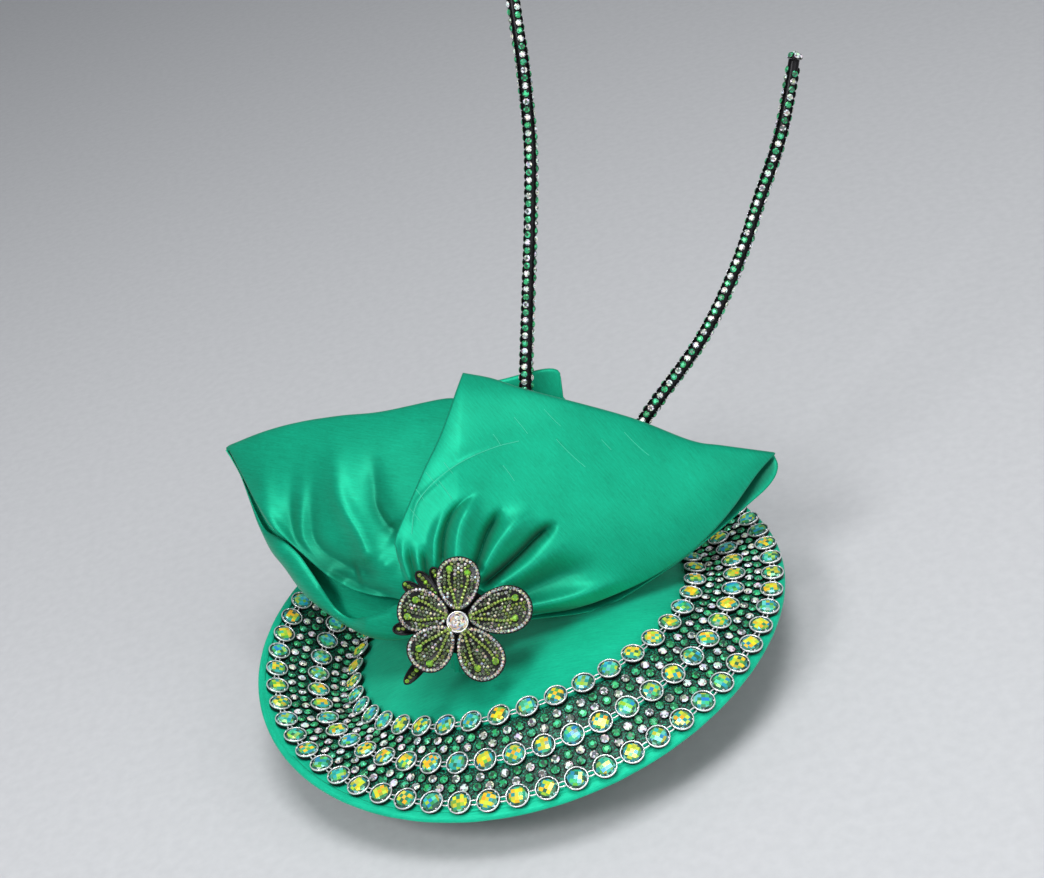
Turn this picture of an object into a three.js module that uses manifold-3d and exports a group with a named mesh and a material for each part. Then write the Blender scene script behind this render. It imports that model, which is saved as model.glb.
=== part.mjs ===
// Satin saucer hat (a disc percher or fascinator): a covered, wired saucer with three rings of
// crystal chain, a large satin bow, a five-petal brooch, two rhinestone antennae, a tilted head
// ring, a comb and two spring clips. Millimetres, +Z up. The origin is the centre of the head
// ring's flat bottom face, -Y is the wearer's front and +X is towards the bow's long wing.
import * as THREE from 'three';
import { mergeVertices } from 'three/addons/utils/BufferGeometryUtils.js';
import Module from 'manifold-3d';

const wasm = await Module();
wasm.setup();

const DEG = Math.PI / 180;
const V = (x, y, z) => new THREE.Vector3(x, y, z);

// ---------------------------------------------------------------- driving dimensions
// saucer surface, as heights above the head seat plane
const rimHeight = 30;            // rim plane above the head seat
const crownReach = 80;           // radius that the crown's tilt and dome are stated at
const shoulderR = 83;            // where the crown turns into the brim
const rimR = 112.8;              // radius where the brim reaches the rim plane
const crownDrop = -6.2;          // crown centre plane below the rim plane
const crownTilt = 20.4;          // rise of the crown plane at crownReach
const tiltDir = 293 * DEG;       // direction of that rise: front, a little to the right
const crownFloor = -14;          // lowest that the shoulder goes, at the back left
const floorBlend = 3;            // softness of that floor
const domeHeight = 12;           // dome of the crown
const rimWave = 3.9;             // saddle wave of the rim
const waveDir = 150.5 * DEG;     // direction of the wave's crest
const shoulderBlend = 3;         // half width of the softened shoulder
const edgeR = 116.6;             // cut edge of the cloth sheets

// layers, measured down from the top of the satin
const clothT = 0.8;
const coreTop = 1.2;
const coreBottom = 2.4;
const liningTop = 2.8;
const liningBottom = 3.6;
const coreR = 116.4;
const wireR = 117.7;
const wireRadius = 0.7;
const wireDepth = 1.9;
const bindingR = 119.6;
const bindingTop = -0.2;         // under side of the binding's top lip, above the satin
const bindingDepth = 4;          // upper side of its bottom lip, below the satin
const bottomLip = 2;             // extra reach of the bottom lip

// crystal chains and the two-row trims between them
const chains = [
  { name: 'outer_crystal_chain', r: 112.8, count: 59, start: 151 * DEG },
  { name: 'middle_crystal_chain', r: 96.4, count: 50, start: 153 * DEG },
  { name: 'inner_crystal_chain', r: 79.1, count: 41, start: 152 * DEG },
];
const trims = [
  { name: 'outer_rhinestone_trim', r0: 102.2, r1: 107.3 },
  { name: 'inner_rhinestone_trim', r0: 84.9, r1: 90.9 },
];
const cupR = 5;
const cupH = 3.6;
const cupLift = 0.6;
const linkHalfWidth = 1.2;
const trimLift = 0.9;
const trimT = 1.6;

// head ring and ribbon
const ringInner = 52;
const ringOuter = 64;
const ringCorner = 3;
const ribbonGap = 0.5;
const ribbonT = 1.1;
const ribbonLow = 1.5;
const ribbonHigh = 13.5;
const seamGap = 1.2;

// bow frame: a plane through the knot, leaning back and turned, facing the wearer's front
const knotAt = V(-24.1, -38.9, rimHeight + 35.2);
const lean = 30.5 * DEG;
const roll = 16.1 * DEG;
const knotR = 8.4;
const clothFold = 3;             // thickness of a folded satin wing
const rightRootR = 9.4;          // rings round the knot that the wings fan out from
const leftRootR = 13;
const backFoldRoot = [54, 20];   // where the back fold is stitched down, in the bow frame
const footGap = 2.8;             // bow foot above the satin
const footTop = 11;              // bow foot below the knot centre

// antennae
const antennaR = 3.2;
const sleeveBoreR = 1.35;
const sleeveGap = 1.2;           // sleeve's foot above the socket's mouth
const wireShare = 0.985;         // how far along the route the wire reaches
const antennaWireR = 1;
const socketR = 3.6;
const socketH = 8;
const socketBoreR = 2.3;
const socketFloor = 1.5;
const wireInSocket = 5;
const plateLift = 1.6;           // middle of the bracket's plate above the satin
const plateR = 14;
const plateT = 1.6;

// brooch
const broochLift = 9;            // brooch centre in front of the knot centre
const broochUp = 1.7;            // and above it
const broochTilt = 0.3;          // lean of the brooch against the bow plane
const petalT = 2.6;
const petalStep = 3;

// hair clips
const clipX = 37;
const clipWidth = 8;
const pinR = 0.8;

// ---------------------------------------------------------------- solids
// merges shared corners, drops empty triangles and turns the faces outwards
function closeSolid(source) {
  const bare = new THREE.BufferGeometry();
  bare.setAttribute('position', source.getAttribute('position').clone());
  if (source.index) bare.setIndex(source.index.clone());
  const merged = mergeVertices(bare, 1e-3);
  const p = merged.getAttribute('position');
  const index = merged.index.array;
  const kept = [];
  let volume = 0;
  for (let i = 0; i < index.length; i += 3) {
    const [a, b, c] = [index[i], index[i + 1], index[i + 2]];
    if (a === b || b === c || a === c) continue;
    kept.push([a, b, c]);
    const va = new THREE.Vector3().fromBufferAttribute(p, a);
    const vb = new THREE.Vector3().fromBufferAttribute(p, b);
    const vc = new THREE.Vector3().fromBufferAttribute(p, c);
    volume += va.dot(vb.cross(vc));
  }
  const turned = volume < 0 ? kept.map(([a, b, c]) => [a, c, b]) : kept;
  merged.setIndex(turned.flat());
  return merged;
}

// a sheet with thickness between two grids of points; closed sheets join end to start
function sheetSolid(top, bottom, nu, nv, closed) {
  const points = [];
  const columns = closed ? nu : nu + 1;
  for (const face of [top, bottom]) {
    for (let i = 0; i < columns; i++) {
      for (let j = 0; j <= nv; j++) points.push(...face(i / nu, j / nv).toArray());
    }
  }
  const id = (side, i, j) => (side * columns + (closed ? i % nu : i)) * (nv + 1) + j;
  const index = [];
  const quad = (a, b, c, d) => index.push(a, b, c, a, c, d);
  for (let i = 0; i < nu; i++) {
    for (let j = 0; j < nv; j++) {
      quad(id(0, i, j), id(0, i + 1, j), id(0, i + 1, j + 1), id(0, i, j + 1));
      quad(id(1, i, j), id(1, i, j + 1), id(1, i + 1, j + 1), id(1, i + 1, j));
    }
    quad(id(0, i, 0), id(1, i, 0), id(1, i + 1, 0), id(0, i + 1, 0));
    quad(id(0, i, nv), id(0, i + 1, nv), id(1, i + 1, nv), id(1, i, nv));
  }
  if (!closed) {
    for (let j = 0; j < nv; j++) {
      quad(id(0, 0, j), id(0, 0, j + 1), id(1, 0, j + 1), id(1, 0, j));
      quad(id(0, nu, j), id(1, nu, j), id(1, nu, j + 1), id(0, nu, j + 1));
    }
  }
  const geometry = new THREE.BufferGeometry();
  geometry.setAttribute('position', new THREE.Float32BufferAttribute(points, 3));
  geometry.setIndex(index);
  return closeSolid(geometry);
}

// a ring whose section is a closed outline in (radius, height above the surface)
function ringSolid(section, height, steps) {
  const points = [];
  const index = [];
  const n = section.length;
  for (let i = 0; i < steps; i++) {
    const a = (i / steps) * 2 * Math.PI;
    for (const [r, h] of section) points.push(r * Math.cos(a), r * Math.sin(a), height(r, a, h));
  }
  for (let i = 0; i < steps; i++) {
    for (let j = 0; j < n; j++) {
      const a = i * n + j;
      const b = i * n + ((j + 1) % n);
      const c = ((i + 1) % steps) * n + ((j + 1) % n);
      const d = ((i + 1) % steps) * n + j;
      index.push(a, b, c, a, c, d);
    }
  }
  const geometry = new THREE.BufferGeometry();
  geometry.setAttribute('position', new THREE.Float32BufferAttribute(points, 3));
  geometry.setIndex(index);
  return closeSolid(geometry);
}

const toManifold = (geometry) => {
  const closed = closeSolid(geometry);
  return new wasm.Manifold(new wasm.Mesh({
    numProp: 3,
    vertProperties: new Float32Array(closed.getAttribute('position').array),
    triVerts: new Uint32Array(closed.index.array),
  }));
};

const fromManifold = (solid) => {
  const mesh = solid.getMesh();
  const geometry = new THREE.BufferGeometry();
  geometry.setAttribute('position', new THREE.BufferAttribute(mesh.vertProperties, 3));
  geometry.setIndex(Array.from(mesh.triVerts));
  return closeSolid(geometry);
};

const unite = (parts) => fromManifold(parts.map(toManifold).reduce((sum, next) => sum.add(next)));

// places a geometry built along +Z on an origin, with its Z turned to a direction
function placeAlong(geometry, origin, direction, side) {
  const z = direction.clone().normalize();
  const x = side.clone().addScaledVector(z, -side.dot(z)).normalize();
  const y = z.clone().cross(x);
  return geometry.applyMatrix4(new THREE.Matrix4().makeBasis(x, y, z).setPosition(origin));
}

const box = (w, d, h, x, y, z) => new THREE.BoxGeometry(w, d, h).translate(x, y, z);

// ---------------------------------------------------------------- saucer surface
// height of the shoulder in a direction: the tilted crown plane with a soft floor
function shoulderRise(a) {
  const plane = crownDrop + crownTilt * Math.cos(a - tiltDir);
  return crownFloor + floorBlend * Math.log1p(Math.exp((plane - crownFloor) / floorBlend));
}

function crownHeight(r, a) {
  const share = r / crownReach;
  return crownDrop + (shoulderRise(a) - crownDrop) * share + domeHeight * (1 - share ** 3);
}

function rawHeight(r, a) {
  if (r < shoulderR) return crownHeight(r, a);
  const rim = rimWave * Math.cos(2 * (a - waveDir));
  const share = (r - shoulderR) / (rimR - shoulderR);
  return crownHeight(shoulderR, a) * (1 - share) + rim * share;
}

// top of the satin, the shoulder softened by averaging across it
function surfaceHeight(r, a) {
  if (r < shoulderR / 2) return rimHeight + rawHeight(r, a);
  const low = rawHeight(r - shoulderBlend, a);
  const high = rawHeight(r + shoulderBlend, a);
  return rimHeight + (low + 2 * rawHeight(r, a) + high) / 4;
}

const surfacePoint = (r, a, lift = 0) =>
  V(r * Math.cos(a), r * Math.sin(a), surfaceHeight(r, a) + lift);

function surfaceNormal(r, a) {
  const step = 0.5;
  const outward = surfacePoint(r + step, a).sub(surfacePoint(r - step, a));
  const around = surfacePoint(r, a + step / r).sub(surfacePoint(r, a - step / r));
  return outward.cross(around).normalize();
}

// ring radii of the sheets: close together where the surface bends
const sheetRadii = [0, 40, 65, 79, 83, 87, 102];
const ringSteps = 40;

function saucerSheet(topDepth, bottomDepth, outerR) {
  const radii = [...sheetRadii, outerR];
  const at = (depth) => (s, t) =>
    surfacePoint(radii[Math.round(t * (radii.length - 1))], s * 2 * Math.PI, -depth);
  return sheetSolid(at(topDepth), at(bottomDepth), ringSteps, radii.length - 1, true);
}

const aboveSurface = (r, a, h) => surfaceHeight(r, a) + h;

function edgeBinding() {
  const lipT = clothT;
  const lipR = rimR + cupR + 0.6;
  const inner = bindingR - lipT;
  const section = [
    [lipR, bindingTop], [lipR, bindingTop + lipT], [inner, bindingTop + lipT],
    [bindingR, bindingTop], [bindingR, -bindingDepth], [inner, -bindingDepth - lipT],
    [lipR - bottomLip, -bindingDepth - lipT], [lipR - bottomLip, -bindingDepth],
    [inner, -bindingDepth], [inner, bindingTop],
  ];
  return ringSolid(section, aboveSurface, ringSteps);
}

function brimWire() {
  const section = [];
  const sides = 5;
  for (let k = 0; k < sides; k++) {
    const a = (k / sides) * 2 * Math.PI;
    section.push([wireR + wireRadius * Math.cos(a), wireRadius * Math.sin(a) - wireDepth]);
  }
  return ringSolid(section, (r, a, h) => surfaceHeight(wireR, a) + h, ringSteps);
}

// ---------------------------------------------------------------- crystal chains and trims
// a point on a strip that lies on the satin, lifted off it square to the surface
const onSatin = (r, a, lift) => surfacePoint(r, a).addScaledVector(surfaceNormal(r, a), lift);

// a ring of cups drawn as one strip, wide at each stone and narrow at each link
function crystalChain({ r, count, start }) {
  const face = (lift) => (s, t) => {
    const place = Math.round(s * 2 * count);
    const half = place % 2 === 0 ? cupR : linkHalfWidth;
    return onSatin(r + (2 * t - 1) * half, start + (place * Math.PI) / count, lift);
  };
  return sheetSolid(face(cupLift + cupH), face(cupLift), 2 * count, 1, true);
}

function rhinestoneTrim({ r0, r1 }) {
  const face = (lift) => (s, t) => onSatin(r0 + (r1 - r0) * t, s * 2 * Math.PI, lift);
  return sheetSolid(face(trimLift + trimT), face(trimLift), ringSteps, 1, true);
}

// ---------------------------------------------------------------- head ring, ribbon and comb
const underLining = (r, a) => surfaceHeight(r, a) - liningBottom - seamGap;

function headRing() {
  const section = [
    [ringInner, ringCorner], [ringInner + ringCorner, 0], [ringOuter - ringCorner, 0],
    [ringOuter, ringCorner], [ringOuter, null], [ringInner, null],
  ];
  const height = (r, a, h) => (h === null ? underLining(r, a) : h);
  return ringSolid(section, height, ringSteps);
}

function petershamRibbon() {
  const outer = ringInner - ribbonGap;
  const inner = outer - ribbonT;
  const section = [
    [inner, ribbonLow], [outer, ribbonLow], [outer, ribbonHigh], [inner, ribbonHigh],
  ];
  return ringSolid(section, (r, a, h) => h, ringSteps);
}

function hairComb() {
  const teeth = 11;
  const spanX = 60;
  const spineY = -36;
  const toothLength = 34;
  const parts = [box(spanX, 4, 4, 0, spineY, 3.5)];
  for (let k = 0; k < teeth; k++) {
    const x = -spanX / 2 + 1 + (k * (spanX - 2)) / (teeth - 1);
    parts.push(box(1.8, toothLength, 1.6, x, spineY + toothLength / 2, 2.6));
  }
  return unite(parts);
}

// ---------------------------------------------------------------- spring clips
// side views are drawn in (along, height) and pulled across the width
function pulledProfile(outline, width, holes = []) {
  const shape = new THREE.Shape(outline.map(([y, z]) => new THREE.Vector2(y, z)));
  for (const [y, z, r] of holes) {
    const hole = new THREE.Path();
    hole.absarc(y, z, r, 0, 2 * Math.PI, true);
    shape.holes.push(hole);
  }
  const geometry = new THREE.ExtrudeGeometry(shape, {
    depth: width, bevelEnabled: false, curveSegments: 10,
  });
  // (along, height, across) becomes (across, along, height)
  const turn = new THREE.Matrix4().makeBasis(V(0, 1, 0), V(0, 0, 1), V(1, 0, 0));
  return geometry.translate(0, 0, -width / 2).applyMatrix4(turn);
}

const clipPin = { y: -4, z: 6.5 };

function clipBase() {
  const ear = [[-6.4, 9.1], [-6.4, 5.2], [-1.6, 5.2], [-1.6, 9.1]];
  const strip = pulledProfile([[-9, 9], [22, 9], [22, 10], [-9, 10]], clipWidth);
  const bore = [[clipPin.y, clipPin.z, pinR + 0.15]];
  const left = pulledProfile(ear, 0.8, bore).translate(-clipWidth / 2 + 0.4, 0, 0);
  const right = pulledProfile(ear, 0.8, bore).translate(clipWidth / 2 - 0.4, 0, 0);
  return unite([strip, left, right]);
}

function clipLever() {
  const blade = pulledProfile(
    [[-16, 1.2], [-6.2, 3.9], [-1.8, 3.9], [22, 7.6], [22, 8.6], [-1.8, 4.9], [-6.2, 4.9],
      [-16.3, 2.2]],
    clipWidth - 2.2,
  );
  const knuckle = [[-5.8, 4.6], [-2.2, 4.6], [-2.2, 7.6], [-3.2, 8.3], [-4.8, 8.3], [-5.8, 7.6]];
  const bore = [[clipPin.y, clipPin.z, pinR + 0.15]];
  const knuckles = [-2.2, 2.2].map((x) => pulledProfile(knuckle, 0.9, bore).translate(x, 0, 0));
  return unite([blade, ...knuckles]);
}

function clipPinSolid() {
  return closeSolid(
    new THREE.CylinderGeometry(pinR, pinR, clipWidth - 0.2, 8).rotateZ(Math.PI / 2)
      .translate(0, clipPin.y, clipPin.z),
  );
}

function clipSpring() {
  const profile = [[1.1, -1.2], [1.5, -1.2], [1.5, 1.2], [1.1, 1.2], [1.1, -1.2]];
  const coil = new THREE.LatheGeometry(profile.map(([r, y]) => new THREE.Vector2(r, y)), 12);
  return closeSolid(coil.rotateZ(Math.PI / 2).translate(0, clipPin.y, clipPin.z));
}

// ---------------------------------------------------------------- bow
const backLean = V(0, Math.sin(lean), Math.cos(lean));
const bowRight = V(Math.cos(roll), 0, 0).addScaledVector(backLean, -Math.sin(roll));
const bowUp = V(Math.sin(roll), 0, 0).addScaledVector(backLean, Math.cos(roll));
const bowFront = V(0, -Math.cos(lean), Math.sin(lean));

// a point in the bow's frame: across, up and forward from the knot
const bowPoint = (u, v, w) =>
  knotAt.clone().addScaledVector(bowRight, u).addScaledVector(bowUp, v)
    .addScaledVector(bowFront, w);

const outlineCurve = (points) =>
  new THREE.CatmullRomCurve3(points.map(([u, v]) => V(u, v, 0)), false, 'centripetal');

// outer edges of the wings, seen from the front, read round from the knot
const rightWingEdge = outlineCurve([
  [-16, 6], [-25, 18], [-25, 32], [-20, 50], [-8, 80], [1, 103], [25, 97], [60, 88], [81, 79],
  [103, 73], [137, 69], [136, 56], [121, 43], [103, 28], [81, 13], [59, 6], [32, 1], [14, -2],
]);
const leftWingEdge = outlineCurve([
  [-2, 88], [-35, 87], [-71, 82], [-105, 73], [-91, 38], [-77, 15], [-56, -4], [-34, -9],
  [-16, -7],
]);
const backFoldEdge = outlineCurve([
  [15, 102], [41, 107], [46, 93], [81, 72], [110, 62], [124, 54], [116, 46], [94, 42],
]);

const rightWingDepth = (u, v) => -0.17 * Math.max(u, 0) - 0.1 * v;
function leftWingDepth(u, v) {
  const clear = 9 * Math.min(1, Math.hypot(u, v) / 30);
  return -clear - 0.5 * Math.abs(u) - 0.1 * v;
}
const backFoldDepth = (u, v) => -62 + 0.12 * v + 0.12 * Math.max(0, u - 40);

// a wing is a fan of cloth from a start point (or a ring round the knot) to its outer edge
function fanWing(edge, root, depth, steps, rows) {
  const face = (side) => (s, t) => {
    const rim = edge.getPointAt(s);
    const start = root(rim);
    const u = start[0] + (rim.x - start[0]) * t;
    const v = start[1] + (rim.y - start[1]) * t;
    return bowPoint(u, v, depth(u, v) + (side * clothFold) / 2);
  };
  return sheetSolid(face(1), face(-1), steps, rows, false);
}

const ringRoot = (radius) => (rim) => {
  const scale = radius / Math.hypot(rim.x, rim.y);
  return [rim.x * scale, rim.y * scale];
};

const bowKnot = () => {
  const ball = new THREE.SphereGeometry(knotR, 12, 8).scale(1, 1, 0.6);
  const turn = new THREE.Matrix4().makeBasis(bowRight, bowUp, bowFront);
  return closeSolid(ball.applyMatrix4(turn.setPosition(bowPoint(0, 0, -2.5))));
};

function bowFoot() {
  const r = Math.hypot(knotAt.x, knotAt.y);
  const a = Math.atan2(knotAt.y, knotAt.x);
  const low = surfaceHeight(r, a) + footGap;
  const high = knotAt.z - footTop;
  const pillar = new THREE.CylinderGeometry(6, 9, high - low, 12).rotateX(Math.PI / 2);
  return closeSolid(pillar.translate(knotAt.x, knotAt.y + 2, (low + high) / 2));
}

// ---------------------------------------------------------------- brooch
const broochPoint = (u, v, level) =>
  bowPoint(u, v + broochUp, broochLift - broochTilt * v + level);
const broochNormal = bowFront.clone().addScaledVector(bowUp, broochTilt).normalize();

// a flat rounded plate lying in the brooch's plane, its long side pointing outwards
function broochPlate(angle, inner, outer, width, thickness, level, sides) {
  const middle = (inner + outer) / 2;
  const across = bowRight.clone().multiplyScalar(Math.cos(angle))
    .addScaledVector(bowUp, Math.sin(angle));
  const plate = new THREE.CylinderGeometry(1, 1, thickness, sides).rotateX(Math.PI / 2)
    .scale((outer - inner) / 2, width / 2, 1);
  const at = broochPoint(middle * Math.cos(angle), middle * Math.sin(angle), level);
  return closeSolid(placeAlong(plate, at, broochNormal, across));
}

const petals = [
  { name: 'brooch_petal_top', angle: 90, outer: 26.2, width: 16.8, step: 2 },
  { name: 'brooch_petal_right', angle: 12, outer: 30.5, width: 18.6, step: 1 },
  { name: 'brooch_petal_lower_right', angle: -57, outer: 27.7, width: 17.2, step: 2 },
  { name: 'brooch_petal_lower_left', angle: 227, outer: 24.8, width: 17, step: 3 },
  { name: 'brooch_petal_left', angle: 166, outer: 25, width: 17.4, step: 1 },
];
const leaves = [
  { name: 'brooch_leaf_1', angle: 146, outer: 27.5, width: 5 },
  { name: 'brooch_leaf_2', angle: 131, outer: 26.5, width: 5 },
  { name: 'brooch_leaf_3', angle: 117, outer: 24.5, width: 4.5 },
  { name: 'brooch_leaf_4', angle: 189, outer: 27, width: 5.5 },
  { name: 'brooch_stem', angle: 231, outer: 34, width: 5 },
];
const petalInner = 5.6;
const leafInner = 14.8;

// ---------------------------------------------------------------- antennae
const antennaRoutes = {
  left: [[33.7, 15.2, -47.9], [31.3, 39.3, -44.4], [29, 68, -41], [28, 100, -38], [29, 137, -34],
    [30, 171, -31], [30, 201, -28], [27, 233, -25], [24, 253, -23], [21, 272, -21]],
  right: [[46.7, 18.7, -47.4], [54.8, 37.3, -44.9], [65, 57, -42.5], [80, 85, -40], [104, 119, -36],
    [119, 150, -33], [129, 180, -30], [137, 205, -27], [141, 226, -25], [143, 239, -24]],
};

const antennaCurve = (side) =>
  new THREE.CatmullRomCurve3(antennaRoutes[side].map((p) => bowPoint(...p)));

function circlePath(radius, sides) {
  const points = [];
  for (let k = 0; k < sides; k++) {
    const a = (k / sides) * 2 * Math.PI;
    points.push(new THREE.Vector2(radius * Math.cos(a), radius * Math.sin(a)));
  }
  return points;
}

function sweep(curve, outerR, sides, steps, boreR) {
  const shape = new THREE.Shape(circlePath(outerR, sides));
  if (boreR) shape.holes.push(new THREE.Path(circlePath(boreR, sides)));
  return closeSolid(new THREE.ExtrudeGeometry(shape, { steps, extrudePath: curve }));
}

function antennaSleeve(side) {
  const curve = antennaCurve(side);
  const start = sleeveGap / curve.getLength();
  const part = new THREE.CatmullRomCurve3(
    Array.from({ length: 17 }, (_, k) => curve.getPointAt(start + ((1 - start) * k) / 16)),
  );
  return sweep(part, antennaR, 6, 18, sleeveBoreR);
}

function antennaWire(side) {
  const curve = antennaCurve(side);
  const below = curve.getPointAt(0).addScaledVector(curve.getTangentAt(0), -wireInSocket);
  const points = Array.from({ length: 16 }, (_, k) => curve.getPointAt((k / 15) * wireShare));
  return sweep(new THREE.CatmullRomCurve3([below, ...points]), antennaWireR, 5, 18);
}

function antennaTip(side) {
  const curve = antennaCurve(side);
  const ball = new THREE.SphereGeometry(antennaR, 8, 6);
  const dome = toManifold(ball).subtract(toManifold(box(9, 9, 9, 0, 0, -4.2)));
  const end = curve.getPointAt(1).addScaledVector(curve.getTangentAt(1), 0.1);
  return closeSolid(placeAlong(fromManifold(dome), end, curve.getTangentAt(1), bowRight));
}

function antennaBracket() {
  const feet = ['left', 'right'].map((side) => antennaCurve(side).getPointAt(0));
  const middle = feet[0].clone().add(feet[1]).multiplyScalar(0.5);
  const r = Math.hypot(middle.x, middle.y);
  const a = Math.atan2(middle.y, middle.x);
  const normal = surfaceNormal(r, a);
  const plate = new THREE.CylinderGeometry(plateR, plateR, plateT, 16).rotateX(Math.PI / 2);
  let bracket = toManifold(
    placeAlong(plate, surfacePoint(r, a).addScaledVector(normal, plateLift), normal, bowRight),
  );
  const bores = [];
  for (const side of ['left', 'right']) {
    const mouth = antennaCurve(side).getPointAt(0);
    const tangent = antennaCurve(side).getTangentAt(0);
    const upright = (radius, low, high) => {
      const post = new THREE.CylinderGeometry(radius, radius, high - low, 12).rotateX(Math.PI / 2);
      return toManifold(placeAlong(post.translate(0, 0, (low + high) / 2), mouth, tangent, bowRight));
    };
    bracket = bracket.add(upright(socketR, -socketH, 0));
    bores.push(upright(socketBoreR, socketFloor - socketH, 1));
  }
  return fromManifold(bores.reduce((solid, bore) => solid.subtract(bore), bracket));
}

// ---------------------------------------------------------------- materials and the group
const paint = (color, roughness, metalness) =>
  new THREE.MeshStandardMaterial({ color, roughness, metalness });

const satin = () => paint(0x11a878, 0.4, 0);
const felt = () => paint(0x0d5c44, 0.9, 0);
const buckram = () => paint(0xd9d3c0, 0.9, 0);
const steel = () => paint(0x9aa0a6, 0.35, 1);
const silver = () => paint(0xc9ccd2, 0.25, 1);
const blackMetal = () => paint(0x1a1c1e, 0.4, 0.8);
const peridot = () => paint(0x5f7a1e, 0.3, 0.3);
const gem = () => paint(0x2c8c66, 0.2, 0.1);

const hat = new THREE.Group();
function addNode(name, geometry, material) {
  const mesh = new THREE.Mesh(geometry, material);
  mesh.name = name;
  hat.add(mesh);
  return mesh;
}

addNode('brim_core', saucerSheet(coreTop, coreBottom, coreR), buckram());
addNode('brim_wire', brimWire(), steel());
addNode('top_cover', saucerSheet(0, clothT, edgeR), satin());
addNode('under_lining', saucerSheet(liningTop, liningBottom, edgeR), felt());
addNode('edge_binding', edgeBinding(), satin());
addNode('head_ring', headRing(), felt());
addNode('petersham_ribbon', petershamRibbon(), felt());
addNode('hair_comb', hairComb(), steel());

for (const side of ['left', 'right']) {
  const x = side === 'left' ? -clipX : clipX;
  const pieces = { base: clipBase(), lever: clipLever(), pin: clipPinSolid(), spring: clipSpring() };
  for (const [piece, geometry] of Object.entries(pieces)) {
    addNode(`${side}_clip_${piece}`, geometry, steel()).position.x = x;
  }
}

for (const chain of chains) addNode(chain.name, crystalChain(chain), silver());
for (const trim of trims) addNode(trim.name, rhinestoneTrim(trim), gem());

addNode('bow_foot', bowFoot(), satin());
addNode('bow_knot', bowKnot(), satin());
addNode('bow_right_wing', fanWing(rightWingEdge, ringRoot(rightRootR), rightWingDepth, 26, 3), satin());
addNode('bow_left_wing', fanWing(leftWingEdge, ringRoot(leftRootR), leftWingDepth, 18, 4), satin());
addNode('bow_back_fold', fanWing(backFoldEdge, () => backFoldRoot, backFoldDepth, 14, 2), satin());

addNode('brooch_plate', broochPlate(0, -14, 14, 28, 1.6, 0, 16), blackMetal());
for (const { name, angle, outer, width, step } of petals) {
  const level = (step - 1) * petalStep + 2.6;
  addNode(name, broochPlate(angle * DEG, petalInner, outer, width, petalT, level, 14), peridot());
}
for (const { name, angle, outer, width } of leaves) {
  addNode(name, broochPlate(angle * DEG, leafInner, outer, width, 1.6, 0, 10), peridot());
}
addNode('brooch_centre_stone', broochPlate(0, -4.4, 4.4, 8.8, 9, 5.9, 12), gem());

addNode('antenna_bracket', antennaBracket(), blackMetal());
for (const side of ['left', 'right']) {
  addNode(`${side}_antenna_wire`, antennaWire(side), steel());
  addNode(`${side}_antenna_sleeve`, antennaSleeve(side), blackMetal());
  addNode(`${side}_antenna_tip`, antennaTip(side), blackMetal());
}

export default hat;
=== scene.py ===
import math
import random

import bpy
import numpy as np
from mathutils import Matrix, Vector


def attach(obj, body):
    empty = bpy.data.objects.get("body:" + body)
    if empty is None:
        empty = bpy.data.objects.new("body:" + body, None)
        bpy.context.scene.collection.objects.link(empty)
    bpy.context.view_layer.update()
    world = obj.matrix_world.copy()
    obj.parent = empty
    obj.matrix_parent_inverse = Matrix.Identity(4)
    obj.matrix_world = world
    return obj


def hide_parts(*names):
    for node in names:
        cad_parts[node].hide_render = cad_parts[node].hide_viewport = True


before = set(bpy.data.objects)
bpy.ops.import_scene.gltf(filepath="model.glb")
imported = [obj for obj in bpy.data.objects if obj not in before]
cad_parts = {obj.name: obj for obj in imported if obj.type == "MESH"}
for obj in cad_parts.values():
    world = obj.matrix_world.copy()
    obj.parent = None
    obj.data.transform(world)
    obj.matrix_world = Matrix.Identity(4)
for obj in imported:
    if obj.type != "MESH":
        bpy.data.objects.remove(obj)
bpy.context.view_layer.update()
rng = random.Random(7)
MM = 0.001
TAU = 2 * math.pi
scene = bpy.context.scene

# ---------------------------------------------------------------- driving dimensions
RIM_HEIGHT = 30.0
CROWN_REACH = 80.0
SHOULDER_R = 83.0
RIM_R = 112.8
CROWN_DROP = -6.2
CROWN_TILT = 20.4
TILT_DIR = math.radians(293)
CROWN_FLOOR = -14.0
FLOOR_BLEND = 3.0
DOME_HEIGHT = 12.0
RIM_WAVE = 3.9
WAVE_DIR = math.radians(150.5)
SHOULDER_BLEND = 3.0
EDGE_R = 116.6
BOW_RISE = 2.8                   # the bow's and the camera's lift over the rim plane

CHAINS = [
    ("outer_crystal_chain", 112.8, 59, 151),
    ("middle_crystal_chain", 96.4, 50, 153),
    ("inner_crystal_chain", 79.1, 41, 152),
]
TRIMS = [
    ("outer_rhinestone_trim", 102.2, 107.3),
    ("inner_rhinestone_trim", 84.9, 90.9),
]
CUP_LIFT = 0.45
TRIM_LIFT = 1.1
NET_OVERLAP = 4.2                # a trim's net past its own edge, under the cups
RIBBON_WIDTH = 12.0
CLIP_X = 37.0
SATIN_THICKNESS = 0.5

RING_INNER = 52.0
RING_OUTER = 64.0

LEAN = math.radians(30.5)
ROLL = math.radians(16.1)
KNOT = np.array([-24.1, -38.9, RIM_HEIGHT + 32.4 + BOW_RISE])
BACK_LEAN = np.array([0, math.sin(LEAN), math.cos(LEAN)])
BOW_RIGHT = math.cos(ROLL) * np.array([1.0, 0, 0]) - math.sin(ROLL) * BACK_LEAN
BOW_UP = math.sin(ROLL) * np.array([1.0, 0, 0]) + math.cos(ROLL) * BACK_LEAN
BOW_FRONT = np.array([0, -math.cos(LEAN), math.sin(LEAN)])

CAMERA_AT = (0.8, 77.4, 841.2)   # in the bow's axes, from the middle of the rim plane
LENS = 65.5


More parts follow.
